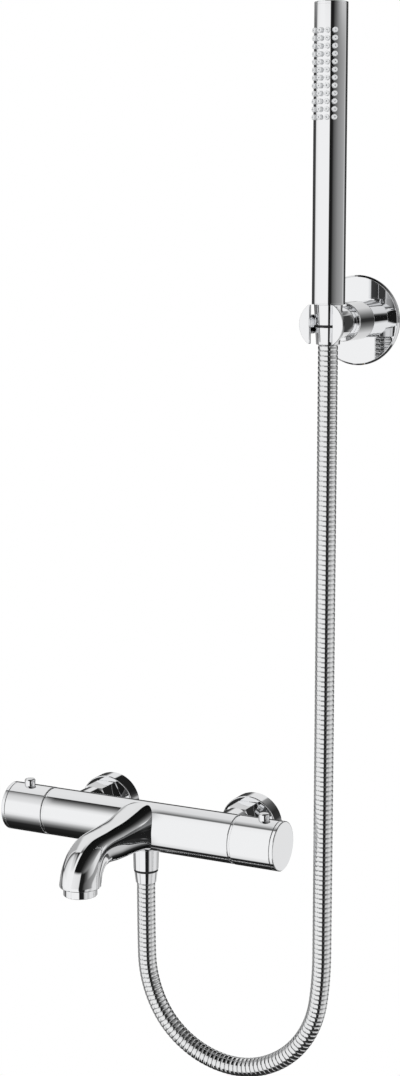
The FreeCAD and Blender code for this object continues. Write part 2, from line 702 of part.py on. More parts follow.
post = turned("post cup", [
    (post_inside, rosette_thick), (post_radius, rosette_thick),
    (post_radius, post_front, post_round), (pivot_radius + fit, post_front),
    (pivot_radius + fit, post_front - post_face), (post_inside, post_front - post_face),
], "-Y", holder_at)
grub_at = (holder_across, -grub_back, holder_up)
grub_way = rod("grub way", grub_radius + fit, post_radius + 1, "-Z", grub_at)
keep(cut("post", post, grub_way))
keep(turned("post_grub_screw", [
    (ZERO, plate_radius), (grub_radius, plate_radius), (grub_radius, post_radius - grub_depth),
    (grub_radius / 2, post_radius - grub_depth), (grub_radius / 2, post_radius - 1.6 * grub_depth),
    (ZERO, post_radius - 1.6 * grub_depth),
], "-Z", grub_at))

# Swivelling holder: neck, front disc with flats, tapered seat and hose slot, pivot washer and screw
handset_out = size("handset_out", 65.7)
neck_out_radius = size("holder_neck_radius", 13.5)
disc_radius = size("holder_disc_radius", 20)
disc_reach = size("holder_disc_beyond_handset", 11.3)
disc_thick = size("holder_disc_thickness", 4.3)
disc_flats = size("holder_disc_flat_height", 16.3)
disc_round = size("holder_disc_edge_round", 0.6)
slot_width = size("holder_slot_width", 21.8)
seat_gap = size("seat_gap", 0.25)
pivot_screw_radius = size("pivot_screw_radius", 2.5)
pivot_head = size("pivot_screw_head_radius", 5)
pivot_head_high = size("pivot_screw_head_height", 3)
pivot_washer = size("pivot_washer_radius", 10)
pivot_washer_thick = size("pivot_washer_thickness", 1.5)
pivot_thread = size("pivot_thread_beyond_post", 5)
cut_room = size("cut_room", 5)
upper_nut_stand = size("upper_nut_above_holder", 16.5)
upper_nut_length = size("upper_nut_length", 17.3)
upper_nut_radius = size("upper_nut_top_radius", 12.1)
upper_nut_foot_radius = size("upper_nut_foot_radius", 11.1)
disc_back = handset_out + disc_reach
disc_front = disc_back + disc_thick
upper_nut_top = holder_up + upper_nut_stand
upper_nut_low = upper_nut_top - upper_nut_length
pivot_back = post_front - post_face
neck = turned("neck and disc", [
    (ZERO, pivot_back), (pivot_radius, pivot_back), (pivot_radius, post_front),
    (neck_out_radius, post_front), (neck_out_radius, disc_back), (disc_radius, disc_back),
    (disc_radius, disc_front, disc_round), (ZERO, disc_front),
], "-Y", holder_at)
handset_at = (holder_across, -handset_out, 0)
taper = (upper_nut_radius - upper_nut_foot_radius) / (upper_nut_top - upper_nut_low)
seat_top = upper_nut_top + cut_room
seat_low = upper_nut_low
cut_foot = holder_up - disc_radius - cut_room
seat = turned("tapered seat", [
    (ZERO, cut_foot), (upper_nut_foot_radius + seat_gap, cut_foot),
    (upper_nut_foot_radius + seat_gap, seat_low),
    (upper_nut_foot_radius + seat_gap + taper * (seat_top - seat_low), seat_top), (ZERO, seat_top),
], "+Z", handset_at)
slot = block("hose slot", (slot_width, disc_front - handset_out + cut_room, 2 * (disc_radius + cut_room)),
             (holder_across - slot_width / 2, -disc_front - cut_room, cut_foot))
trims = [seat, slot]
for low in (holder_up + disc_flats, holder_up - disc_flats - disc_radius):
    trims.append(block("disc flat", (2 * (disc_radius + cut_room), disc_thick + 2 * cut_room, disc_radius),
                       (holder_across - disc_radius - cut_room, -disc_front - cut_room, low)))
trims.append(rod("pivot thread", pivot_screw_radius, post_face + pivot_thread, "-Y",
                 (holder_across, -pivot_back, holder_up)))
keep(cut("holder", neck, joined("holder cuts", trims)))
washer_back = pivot_back - pivot_washer_thick
keep(turned("pivot_washer", [
    (pivot_screw_radius, washer_back), (pivot_washer, washer_back), (pivot_washer, pivot_back),
    (pivot_screw_radius, pivot_back),
], "-Y", holder_at))
keep(turned("pivot_screw", [
    (ZERO, washer_back - 1), (pivot_head / 2, washer_back - 1),
    (pivot_head / 2, washer_back - pivot_head_high), (pivot_head, washer_back - pivot_head_high),
    (pivot_head, washer_back), (pivot_screw_radius, washer_back),
    (pivot_screw_radius, post_front + pivot_thread - slack), (ZERO, post_front + pivot_thread - slack),
], "-Y", holder_at))

# Handset: tube, top cap, tail, nozzle mat, washer and flow limiter
tube_radius = size("handset_radius", 14)
tube_inside = size("handset_inside_radius", 12.8)
handset_length = size("handset_length", 247.2)
cap_high = size("handset_cap_thickness", 2.5)
cap_bevel = size("handset_cap_edge_round", 0.6)
cap_plug = size("handset_cap_plug", 5)
tail_plug = size("handset_tail_plug", 20)
tail_flange = size("handset_tail_flange", 0.8)
tail_thread = size("handset_tail_thread", 11)
tail_way = size("handset_tail_bore_radius", 6)
limiter_length = size("flow_limiter_length", 6)
nozzle_rows = size("nozzle_rows", 12)
nozzle_columns = size("nozzle_columns", 4)
nozzle_pitch = size("nozzle_pitch", 6.35)
nozzle_turn = size("nozzle_column_angle", 24)
nozzle_drop = size("nozzle_first_row_below_top", 93.5)
nozzle_radius = size("nozzle_radius", 2.2)
nozzle_proud = size("nozzle_proud", 3)
nozzle_hole = size("nozzle_hole_radius", 0.6)
mat_wall = size("nozzle_mat_wall", 1.2)
mat_margin = size("nozzle_mat_margin", 4)
tube_low = upper_nut_top
handset_top = tube_low + handset_length
nozzle_first = handset_top - nozzle_drop
cap_seat = handset_top - cap_high
tail_thread_low = tube_low - tail_thread
tail_flange_top = tube_low + tail_flange
keep(turned("handset_cap", [
    (ZERO, cap_seat - cap_plug), (tube_inside, cap_seat - cap_plug), (tube_inside, cap_seat),
    (tube_radius, cap_seat), (tube_radius, handset_top, cap_bevel), (ZERO, handset_top),
], "+Z", handset_at))
keep(turned("handset_tail", [
    (tail_way, tail_thread_low), (half_thread, tail_thread_low), (half_thread, tube_low),
    (tube_radius, tube_low), (tube_radius, tail_flange_top), (tube_inside, tail_flange_top),
    (tube_inside, tube_low + tail_plug), (tail_way, tube_low + tail_plug),
], "+Z", handset_at))
keep(turned("flow_limiter", [
    (ZERO, tube_low), (tail_way, tube_low), (tail_way, tube_low + limiter_length),
    (tail_way / 2, tube_low + limiter_length), (ZERO, tube_low + limiter_length / 2),
], "+Z", handset_at))


def nozzle_field(label, radius, length):
    """Rods from the handset's axis outwards, in even rows and in columns about the front."""
    rods = []
    middle = (nozzle_columns - 1) / 2
    for row in range(int(nozzle_rows.value)):
        for column in range(int(nozzle_columns.value)):
            turn = math.radians(nozzle_turn.value * (column - middle.value))
            outward = Vector(math.sin(turn), -math.cos(turn), 0)
            base = Vector(holder_across.value, -handset_out.value,
                          nozzle_first.value + row * nozzle_pitch.value)
            rods.append(Part.makeCylinder(radius.value, length.value, base, outward))
    field = doc.addObject("Part::Feature", "NozzleField")
    field.Label = label
    field.Shape = Part.makeCompound(rods)
    return field


tube = turned("tube", [
    (tube_inside, tail_flange_top), (tube_radius, tail_flange_top), (tube_radius, cap_seat),
    (tube_inside, cap_seat),
], "+Z", handset_at)
keep(cut("handset_tube", tube, nozzle_field("nozzle holes", nozzle_radius + fit, tube_radius + 2)))
field_low = nozzle_first - mat_margin
field_high = nozzle_first + nozzle_pitch * (nozzle_rows - 1) + mat_margin
mat = turned("mat sleeve", [
    (tube_inside - mat_wall, field_low), (tube_inside, field_low), (tube_inside, field_high),
    (tube_inside - mat_wall, field_high),
], "+Z", handset_at)
core = rod("mat core", tube_inside - mat_wall, field_high - field_low, "+Z",
           (holder_across, -handset_out, field_low))
pegs = cut("nozzle pegs", nozzle_field("nozzle rods", nozzle_radius, tube_radius + nozzle_proud), core)
jets = nozzle_field("nozzle jets", nozzle_hole, tube_radius + nozzle_proud + 2)
keep(cut("nozzle_mat", joined("mat and pegs", [mat, pegs]), jets))

# Upper end of the hose in the holder: washer, cone nut on the tail, dark ring, ferrule and insert
upper_ferrule_length = size("upper_ferrule_length", 14.5)
upper_ferrule_radius = size("upper_ferrule_radius", 11)
upper_ferrule_foot_radius = size("upper_ferrule_foot_radius", 10)
upper_washer_low = tail_thread_low - hose_washer
upper_flange_low = upper_washer_low - insert_flange_thick
upper_ring_low = upper_nut_low - dark_ring
hose_end = upper_ring_low - upper_ferrule_length
keep(turned("upper_hose_washer", [
    (insert_radius, upper_washer_low), (insert_flange, upper_washer_low),
    (insert_flange, tail_thread_low), (insert_radius, tail_thread_low),
], "+Z", handset_at))
keep(turned("upper_hose_nut", [
    (insert_radius + fit, upper_nut_low), (upper_nut_foot_radius, upper_nut_low),
    (upper_nut_radius, upper_nut_top - slack), (half_thread + fit, upper_nut_top - slack),
    (half_thread + fit, upper_flange_low), (insert_radius + fit, upper_flange_low),
], "+Z", handset_at))
keep(turned("upper_dark_ring", [
    (insert_radius + fit, upper_ring_low), (upper_nut_foot_radius, upper_ring_low),
    (upper_nut_foot_radius, upper_nut_low), (insert_radius + fit, upper_nut_low),
], "+Z", handset_at))
keep(turned("upper_ferrule", [
    (insert_radius + fit, hose_end), (upper_ferrule_foot_radius, hose_end),
    (upper_ferrule_radius, upper_ring_low), (insert_radius + fit, upper_ring_low),
], "+Z", handset_at))
keep(turned("upper_hose_insert", [
    (hose_bore, hose_end), (insert_radius, hose_end), (insert_radius, upper_flange_low),
    (insert_flange, upper_flange_low), (insert_flange, upper_washer_low),
    (hose_bore, upper_washer_low),
], "+Z", handset_at))

# Ribbed hose: down from the outlet, round one wide loop, then straight up to the handset
rib_count = size("hose_ribs", 200)
loop_points = ((0, 95), (1.5, 140), (21, 181), (57, 207), (101, 213), (141, 194), (166, 158))
hose_rise = size("hose_rise_start_down", 114)
hose_plain = size("hose_plain_end", 1)


def hose_route():
    """The route's corner points in one upright plane, as (across, up) and the plane's direction."""
    across = holder_across.value
    corners = [(0.0, barrel_up.value - hose_start.value)]
    corners += [(x * across / 172, -down) for x, down in loop_points]
    corners += [(across, -hose_rise.value), (across, hose_end.value)]
    forward = handset_out.value - outlet_out.value
    return [Vector(x, -outlet_out.value - forward * x / across, z) for x, z in corners]


def hose_path(corners):
    """Straight runs joined by tangent arcs, and the radius of each arc."""
    edges, radii, start = [], [], corners[0]
    for before, corner, after in zip(corners, corners[1:], corners[2:]):
        into = (corner - before).normalize()
        out = (after - corner).normalize()
        turn = into.getAngle(out)
        reach = 0.45 * min((corner - before).Length, (after - corner).Length)
        radii.append(reach / math.tan(turn / 2))
        first, last = corner - into * reach, corner + out * reach
        inward = (out - into).normalize()
        centre = corner + inward * (radii[-1] / math.cos(turn / 2))
        middle = centre - inward * radii[-1]
        edges.append(Part.LineSegment(start, first).toShape())
        edges.append(Part.Arc(first, middle, last).toShape())
        start = last
    edges.append(Part.LineSegment(start, corners[-1]).toShape())
    return Part.Wire(edges), radii


def along(wire, distance):
    """Point and direction on the wire at a distance from its start."""
    for edge in wire.OrderedEdges:
        if distance <= edge.Length or edge.isSame(wire.OrderedEdges[-1]):
            place_on = edge.getParameterByLength(min(distance, edge.Length))
            flip = -1 if edge.Orientation == "Reversed" else 1
            return edge.valueAt(place_on), edge.tangentAt(place_on) * flip
        distance -= edge.Length


corners = hose_route()
path, radii = hose_path(corners)
sideways = (corners[-1] - corners[0]).cross(Vector(0, 0, 1)).normalize()


def ring_at(distance, radius):
    """A circle square to the path, with its seam on the same side all along."""
    point, direction = along(path, distance)
    axis = FreeCAD.Placement(point, Rotation(sideways, direction.cross(sideways), direction, "XZY"))
    circle = Part.Circle(Vector(0, 0, 0), Vector(0, 0, 1), radius).toShape()
    circle.Placement = axis
    return Part.Wire([circle])


def ribbed_hose():
    """Crest and groove rings in even steps, between two short plain ends."""
    count = int(rib_count.value)
    plain = hose_plain.value
    pitch = (path.Length - 2 * plain) / count
    low, high = groove_radius.value, hose_radius.value
    rings = [ring_at(0, high), ring_at(plain - 0.05 * pitch, high)]
    for index in range(count):
        start = plain + index * pitch
        for share, radius in ((0, low), (0.2, high), (0.75, high), (0.95, low)):
            rings.append(ring_at(start + share * pitch, radius))
    rings += [ring_at(path.Length - plain, high), ring_at(path.Length, high)]
    outer = Part.makeLoft(rings, True, True)
    bore = Part.Wire(Part.Circle(corners[0], Vector(0, 0, 1), hose_bore.value).toShape())
    inner = path.makePipeShell([bore], True, False)
    return outer.cut(inner)


hose = doc.addObject("Part::Feature", "Hose")
hose.Label = "hose"
hose.Shape = ribbed_hose()
keep(hose)

doc.recompute()
print("hose length", round(path.Length, 1), "radii", [round(r, 1) for r in radii])
plain_area = math.pi * (hose_radius.value ** 2 - hose_bore.value ** 2)
print("hose volume share of a plain tube", round(hose.Shape.Volume / (plain_area * path.Length), 3))

faults = []
for item in doc.Objects:
    if "Invalid" in item.State or "Error" in item.State:
        faults.append(item.Label + " " + str(item.State))
for name, item in pieces.items():
    shape = item.Shape
    if shape.isNull() or not shape.isValid():
        faults.append(name + " has no valid shape")
    elif not shape.Solids:
        faults.append(name + " has no solid")
if faults:
    raise RuntimeError("; ".join(faults))

os.makedirs("parts", exist_ok=True)
for name, item in pieces.items():
    item.Shape.exportStep(os.path.join("parts", name + ".step"))
    print(name, len(item.Shape.Solids), round(item.Shape.Volume, 1))
print(len(pieces), "pieces")
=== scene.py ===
import math

import bmesh
import bpy
import numpy as np
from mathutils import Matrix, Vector


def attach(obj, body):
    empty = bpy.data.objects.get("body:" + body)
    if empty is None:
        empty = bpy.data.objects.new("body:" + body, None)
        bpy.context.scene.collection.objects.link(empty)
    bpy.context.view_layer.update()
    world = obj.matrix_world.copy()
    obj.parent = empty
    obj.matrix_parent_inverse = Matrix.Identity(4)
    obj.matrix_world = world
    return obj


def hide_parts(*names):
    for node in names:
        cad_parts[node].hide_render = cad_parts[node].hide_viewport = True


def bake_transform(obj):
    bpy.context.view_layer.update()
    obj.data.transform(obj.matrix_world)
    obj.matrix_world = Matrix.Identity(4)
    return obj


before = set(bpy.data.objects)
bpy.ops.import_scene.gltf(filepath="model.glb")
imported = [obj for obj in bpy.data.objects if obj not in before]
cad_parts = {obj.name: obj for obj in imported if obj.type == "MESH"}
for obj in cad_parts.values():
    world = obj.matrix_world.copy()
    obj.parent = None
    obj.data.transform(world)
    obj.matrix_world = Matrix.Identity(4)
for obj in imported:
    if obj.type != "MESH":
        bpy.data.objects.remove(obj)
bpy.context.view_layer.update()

# The camera: the photograph's view, from 27 degrees to the right of the front and 9.2 degrees above.
# The focal length is counted in the pixels of the photograph, which is 1076 of them high.
camera_place = Vector((0.8502, -1.6347, 0.5593))
from_right, from_above = math.radians(27.0), math.radians(9.2)
photo_height, focal_pixels, sensor = 1076.0, 2016.2, 36.0
camera_data = bpy.data.cameras.new("Camera")
camera_data.sensor_width = sensor
camera_data.lens = sensor * focal_pixels / photo_height
camera_data.clip_end = 30.0
camera = bpy.data.objects.new("Camera", camera_data)
camera.location = camera_place
gaze = Vector((-math.sin(from_right) * math.cos(from_above),
               math.cos(from_right) * math.cos(from_above),
               -math.sin(from_above)))
camera.rotation_euler = gaze.to_track_quat("-Z", "Y").to_euler()
bpy.context.scene.collection.objects.link(camera)
bpy.context.scene.camera = camera
bpy.context.scene.view_settings.view_transform = "Standard"


# The studio: white all round, as polished metal is photographed, with two soft boxes. What the metal
# mirrors is a room of bright walls and black flags, set out by angle so that each piece of the mixer
# shows the streaks that it has in the photograph.
def shader_node(tree, kind, **values):
    """A new shader node. Each value goes to the node's setting or input of that name, or, where the
    name is a number such as _1, to the input of that number."""
    node = tree.nodes.new(kind)
    for name, value in values.items():
        if hasattr(node, name):
            setattr(node, name, value)
        else:
            socket = int(name[1:]) if name[0] == "_" else name
            node.inputs[socket].default_value = value
    return node


def by_ray(tree, kind, others, these):
    """A mix that shows one shader to the rays of that kind and the other shader to all others."""
    path = shader_node(tree, "ShaderNodeLightPath")
    mix = shader_node(tree, "ShaderNodeMixShader")
    tree.links.new(path.outputs[kind], mix.inputs[0])
    tree.links.new(others.outputs[0], mix.inputs[1])
    tree.links.new(these.outputs[0], mix.inputs[2])
    return mix


def mirrored_room(tree):
    """The grey that metal mirrors for each direction (x, y, z) of a ray. A ramp holds pairs of an angle
    in degrees and a grey, over the heading atan2(x, -y) for what stands upright, the lift atan2(z, -y)
    for the bar, or the roll atan2(z, x) for what points at the wall. The blends put the ramps together."""
    link = tree.links.new
    direction = shader_node(tree, "ShaderNodeTexCoord")
    split = shader_node(tree, "ShaderNodeSeparateXYZ")
    link(direction.outputs["Generated"], split.inputs[0])
    x, y, z = split.outputs
    minus_y = shader_node(tree, "ShaderNodeMath", operation="MULTIPLY", _1=-1.0)
    link(y, minus_y.inputs[0])

    def angle(above, beside):
        """The angle atan2(above, beside), as a share of the turn from -180 to 180 degrees."""
        node = shader_node(tree, "ShaderNodeMath", operation="ARCTAN2")
        link(above, node.inputs[0])
        link(beside, node.inputs[1])
        share = shader_node(tree, "ShaderNodeMath", operation="MULTIPLY_ADD", _1=1 / (2 * math.pi), _2=0.5)
        link(node.outputs[0], share.inputs[0])
        return share.outputs[0]

    def greys(source, *stops):
        """A ramp over one of the angles, straight between its pairs of degrees and grey."""
        node = shader_node(tree, "ShaderNodeValToRGB")
        points = node.color_ramp.elements
        while len(points) > 1:
            points.remove(points[-1])
        points[0].position = (stops[0][0] + 180) / 360
        points[0].color = (stops[0][1],) * 3 + (1,)
        for degrees, grey in stops[1:]:
            points.new((degrees + 180) / 360).color = (grey,) * 3 + (1,)
        link(source, node.inputs[0])
        return node.outputs[0]

    def blend(source, low, high, first, second):
        """The first colour where x, y or z is below low, the second above high, and a smooth step."""
        share = shader_node(tree, "ShaderNodeMapRange", interpolation_type="SMOOTHSTEP", _1=low, _2=high)
        link(source, share.inputs[0])
        node = shader_node(tree, "ShaderNodeMix", data_type="RGBA")
        link(share.outputs[0], node.inputs[0])
        link(first, node.inputs[6])
        link(second, node.inputs[7])
        return node.outputs[2]

    heading, lift, roll = angle(x, minus_y.outputs[0]), angle(z, minus_y.outputs[0]), angle(z, x)

    # Upright pieces, such as the handset and the hose: rays that fall, are about level, and climb.
    falling = greys(heading, (-180, 0.06), (-165, 0.08), (-150, 0.4), (-100, 0.32), (-88, 0.05), (-83, 0.06),
                    (-78, 0.9), (-40, 1), (20, 1), (23, 0.01), (52, 0.02), (57, 0.55), (70, 0.8), (84, 0.6),
                    (98, 0.85), (140, 0.8), (152, 0.75), (160, 0.08), (180, 0.06))
    level = greys(heading, (-180, 0.04), (-157, 0.04), (-92, 0.06), (-84, 0.9), (-60, 1), (18, 1), (21, 0.01),
                  (39, 0.015), (51, 0.12), (83, 0.28), (130, 0.40), (137, 0.42), (139, 0.95), (153, 0.95),
                  (157, 0.05), (180, 0.04))
    climbing = greys(heading, (-180, 0.5), (-100, 0.45), (-95, 0.9), (-91, 0.08), (-86, 0.2), (-78, 0.8),
                     (-50, 1), (14, 0.85), (18, 0.8), (20, 0.01), (42, 0.015), (58, 0.12), (80, 0.5),
                     (105, 0.85), (140, 0.9), (180, 0.9))
    upright = blend(z, -0.12, -0.07, falling, level)
    upright = blend(z, 0.07, 0.13, upright, climbing)

    # The bar, whose mirror image keeps the ray's x: its left end, then left and right of the spout.
    bar_end = greys(lift, (-180, 0.04), (-110, 0.01), (-72, 0.02), (-55, 0.16), (-40, 0.5), (-27, 0.9),
                    (-15, 1), (32, 1), (44, 0.85), (60, 0.75), (70, 0.6), (80, 0.35), (84, 0.12),
                    (86.5, 0.05), (88, 0.84), (120, 0.88), (160, 0.84), (167, 0.08), (180, 0.04))
    bar_left = greys(lift, (-180, 0.04), (-110, 0.01), (-72, 0.02), (-55, 0.16), (-40, 0.5), (-27, 0.9),
                     (-15, 1), (32, 1), (44, 0.85), (60, 0.4), (74, 0.12), (83, 0.02), (86.5, 0.01),
                     (88, 0.84), (120, 0.88), (160, 0.84), (167, 0.08), (180, 0.04))
    bar_right = greys(lift, (-180, 0.04), (-104, 0.01), (-101, 0.3), (-97, 0.3), (-94, 0.01), (-80, 0.02),
                      (-76, 0.8), (-55, 1), (60, 1), (82, 0.95), (86, 0.2), (90, 0.14), (98, 0.45),
                      (112, 0.8), (160, 0.86), (167, 0.08), (180, 0.04))
    bar = blend(x, -0.503, -0.497, bar_end, bar_left)
    bar = blend(x, -0.462, -0.450, bar, bar_right)

    # Pieces that point at the wall, whose mirror image keeps the ray's y: the spout, the left and the
    # right union, and the wall holder. Past them it is dark.
    spout = greys(roll, (-180, 0.06), (-100, 0.003), (-64, 0.006), (-50, 0.04), (-45, 0.18), (-38, 0.38),
                  (-32, 0.6), (0, 0.6), (18, 0.5), (36, 0.31), (52, 0.12), (64, 0.05), (78, 0.01),
                  (130, 0.004), (134, 0.8), (150, 0.78), (165, 0.3), (180, 0.05))
    left_union = greys(roll, (-180, 0.06), (-95, 0.02), (-84, 0.03), (-76, 0.6), (-66, 0.85), (-55, 0.2),
                       (-28, 0.05), (-12, 0.12), (-3, 0.55), (6, 0.12), (16, 0.03), (30, 0.015),
                       (112, 0.015), (116, 0.86), (150, 0.88), (165, 0.3), (180, 0.1))
    right_union = greys(roll, (-180, 0.05), (-168, 0.05), (-156, 0.8), (-60, 0.87), (-30, 0.85),
                        (-15, 0.25), (0, 0.04), (30, 0.03), (60, 0.1), (86, 0.3), (92, 0.85),
                        (155, 0.85), (166, 0.05), (180, 0.05))
    wall_holder = greys(roll, (-180, 0.8), (-80, 0.7), (-35, 0.2), (-5, 0.03), (10, 0.03), (35, 0.2),
                        (80, 0.7), (180, 0.8))
    back = blend(y, 0.823, 0.829, spout, left_union)
    back = blend(y, 0.848, 0.860, back, right_union)
    back = blend(y, 0.885, 0.90, back, wall_holder)
    back = blend(y, 0.93, 0.95, back, greys(roll, (-180, 0.05), (180, 0.05)))

    # The front half of the room has a dark ground, and the spout's greys for a ceiling. It reaches
    # further back low down than high up. To the left the bar's greys take over, then the upright ones.
    front = blend(z, 0.42, 0.58, upright, spout)
    front = blend(z, -0.73, -0.66, greys(roll, (-180, 0.03), (180, 0.03)), front)
    lower_half = blend(y, 0.66, 0.76, front, back)
    upper_half = blend(y, 0.54, 0.62, front, back)
    room = blend(z, 0.3, 0.4, lower_half, upper_half)
    room = blend(x, -0.385, -0.365, bar, room)
    return blend(x, -0.66, -0.56, upright, room)


def studio_light():
    """The world: white to the camera, the mirrored room to metal and a plain grey to matt surfaces."""
    world = bpy.data.worlds.new("Studio")
    bpy.context.scene.world = world
    world.use_nodes = True
    tree = world.node_tree
    tree.nodes.clear()
    mirrored = shader_node(tree, "ShaderNodeBackground", _1=1.0)
    tree.links.new(mirrored_room(tree), mirrored.inputs[0])
    plain = shader_node(tree, "ShaderNodeBackground", _0=(0.55, 0.55, 0.55, 1), _1=1.0)
    white = shader_node(tree, "ShaderNodeBackground", _0=(1, 1, 1, 1), _1=1.0)
    lit = by_ray(tree, "Is Glossy Ray", plain, mirrored)
    seen = by_ray(tree, "Is Camera Ray", lit, white)
    out = shader_node(tree, "ShaderNodeOutputWorld")
    tree.links.new(seen.outputs[0], out.inputs[0])


def soft_box(name, place, size, watts):
    """A square soft box aimed at the middle of the mixer, which mirrors don't show."""
    data = bpy.data.lights.new(name, "AREA")
    data.shape = "SQUARE"
    data.size = size
    data.energy = watts
    lamp = bpy.data.objects.new(name, data)
    lamp.location = place
    middle = Vector((0.08, -0.06, 0.2))
    aim = middle - Vector(place)
    lamp.rotation_euler = aim.to_track_quat("-Z", "Y").to_euler()
    lamp.visible_glossy = False
    bpy.context.scene.collection.objects.link(lamp)


studio_light()
soft_box("KeyLamp", (-1.4, -2.2, 1.9), 1.6, 34)
soft_box("FillLamp", (2.0, -1.6, 0.8), 1.4, 14)

# The floor: pale matt paint, far below the wall pieces. It is white to the camera, like the room, and
# the metal doesn't mirror it.
floor_reach, floor_height = 3.0, -0.85
floor_corners = [(across * floor_reach, out * floor_reach, floor_height)
                 for across, out in ((-1, -1), (1, -1), (1, 1), (-1, 1))]
floor_mesh = bpy.data.meshes.new("Floor")
floor_mesh.from_pydata(floor_corners, [], [(0, 1, 2, 3)])
floor = bpy.data.objects.new("Floor", floor_mesh)
bpy.context.scene.collection.objects.link(floor)
floor.visible_glossy = False
floor_paint = bpy.data.materials.new("PaleFloor")
floor_paint.use_nodes = True
floor_tree = floor_paint.node_tree
floor_tree.nodes.clear()
floor_matt = shader_node(floor_tree, "ShaderNodeBsdfDiffuse", _0=(0.9, 0.9, 0.9, 1))
floor_white = shader_node(floor_tree, "ShaderNodeEmission", _0=(1, 1, 1, 1), _1=1.0)
floor_seen = by_ray(floor_tree, "Is Camera Ray", floor_matt, floor_white)
floor_out = shader_node(floor_tree, "ShaderNodeOutputMaterial")
floor_tree.links.new(floor_seen.outputs[0], floor_out.inputs[0])
floor_mesh.materials.append(floor_paint)

# The hose: a stainless band wound and crimped into ribs round a rubber tube, plain at both ends. It
# leaves the outlet downwards, makes one wide loop and climbs straight to the handset. It is two cords
# that meet in a groove, one between the mixer and the holder, one between the holder and the handset.
hose_thick, hose_whole = 0.0168, 0.9169
rib_pitch, groove_depth, plain_end = 0.00425, 0.0005, 0.0008
rib_shares = np.array([0.0, 0.05, 0.13, 0.28, 0.5, 0.72, 0.87, 0.95])
bend_start, meeting_height, bend_end, hose_top = 0.0, 0.26, 0.44, 0.4485
# The outlet, the holder's seat and the route's points, across and up, in millimetres.
outlet_y, seat_x, seat_y = -75, 172, -65.7
hose_points = [(0, -47.5), (0, -95), (1.5, -140), (21, -181), (57, -207), (101, -213), (141, -194),
               (166, -158), (172, -114), (172, -66), (172, 300), (172, 448.5)]


def metal(name, colour, rough, drift=0.03):
    """Bare or plated metal. Its roughness climbs from rough to rough + drift with the product of soft
    clouds and fine wipe marks, which lies between 0.1 and 0.45."""
    made = bpy.data.materials.new(name)
    made.use_nodes = True
    tree = made.node_tree
    link = tree.links.new
    shader = tree.nodes["Principled BSDF"]
    shader.inputs["Metallic"].default_value = 1.0
    shader.inputs["Base Color"].default_value = colour + (1,)
    where = shader_node(tree, "ShaderNodeTexCoord")
    clouds = shader_node(tree, "ShaderNodeTexNoise", Scale=22.0, Detail=3.0)
    wipes = shader_node(tree, "ShaderNodeTexNoise", Scale=260.0, Detail=2.0)
    both = shader_node(tree, "ShaderNodeMath", operation="MULTIPLY")
    spread = shader_node(tree, "ShaderNodeMapRange", _1=0.1, _2=0.45, _3=rough, _4=rough + drift)
    link(where.outputs["Object"], clouds.inputs["Vector"])
    link(where.outputs["Object"], wipes.inputs["Vector"])
    link(clouds.outputs[0], both.inputs[0])
    link(wipes.outputs[0], both.inputs[1])
    link(both.outputs[0], spread.inputs[0])
    link(spread.outputs[0], shader.inputs["Roughness"])
    return made


def formed(name, skins, sharp=32.0):
    """A piece from skins, each a grid of points with rows along it and columns round it. Quads join
    neighbours. A ring's last row meets its first, and any other skin is closed by flat ends."""
    points, faces, start = [], [], 0
    for grid, ring in skins:
        rows, columns = grid.shape[:2]
        number = start + np.arange(rows * columns).reshape(rows, columns)
        beside = np.roll(number, -1, axis=1)
        if ring:
            low, low_beside = number, beside
            high, high_beside = np.roll(number, -1, axis=0), np.roll(beside, -1, axis=0)
        else:
            low, low_beside, high, high_beside = number[:-1], beside[:-1], number[1:], beside[1:]
        faces += np.stack([low, low_beside, high_beside, high], -1).reshape(-1, 4).tolist()
        if not ring:
            faces += [number[0][::-1].tolist(), number[-1].tolist()]
        points.append(grid.reshape(-1, 3))
        start += rows * columns
    mesh = bpy.data.meshes.new(name)
    mesh.from_pydata(np.concatenate(points).tolist(), [], faces)
    work = bmesh.new()
    work.from_mesh(mesh)
    bmesh.ops.remove_doubles(work, verts=work.verts, dist=1e-7)
    bmesh.ops.dissolve_degenerate(work, edges=work.edges, dist=1e-8)
    bmesh.ops.recalc_face_normals(work, faces=work.faces)
    work.to_mesh(mesh)
    work.free()
    mesh.shade_smooth()
    mesh.set_sharp_from_angle(angle=math.radians(sharp))
    piece = bpy.data.objects.new(name, mesh)
    bpy.context.scene.collection.objects.link(piece)
    return piece


def fitted(piece, finish, body, node, mirrored=True):
    """Give a piece its finish, hide the node that it stands for and set it on the body that it rides. A piece
    that isn't mirrored stays out of the mirror images in its neighbours."""
    piece.data.materials.clear()
    piece.data.materials.append(finish)
    piece.visible_glossy = mirrored
    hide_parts(node)
    if body:
        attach(piece, body)


def hose_line(route):
    """Points along the quadratic NURBS curve that the route's points pull into shape."""
    curve = bpy.data.curves.new("HoseLine", "CURVE")
    curve.dimensions = "3D"
    curve.resolution_u = 24
    spline = curve.splines.new("NURBS")
    spline.points.add(len(route) - 1)
    for spot, place in zip(spline.points, route):
        spot.co = place + (1.0,)
    spline.order_u = 3
    spline.use_endpoint_u = True
    carrier = bpy.data.objects.new("HoseLine", curve)
    bpy.context.scene.collection.objects.link(carrier)
    read = bpy.data.meshes.new_from_object(carrier.evaluated_get(bpy.context.evaluated_depsgraph_get()))
    bpy.data.objects.remove(carrier)
    return np.array([vertex.co[:] for vertex in read.vertices])


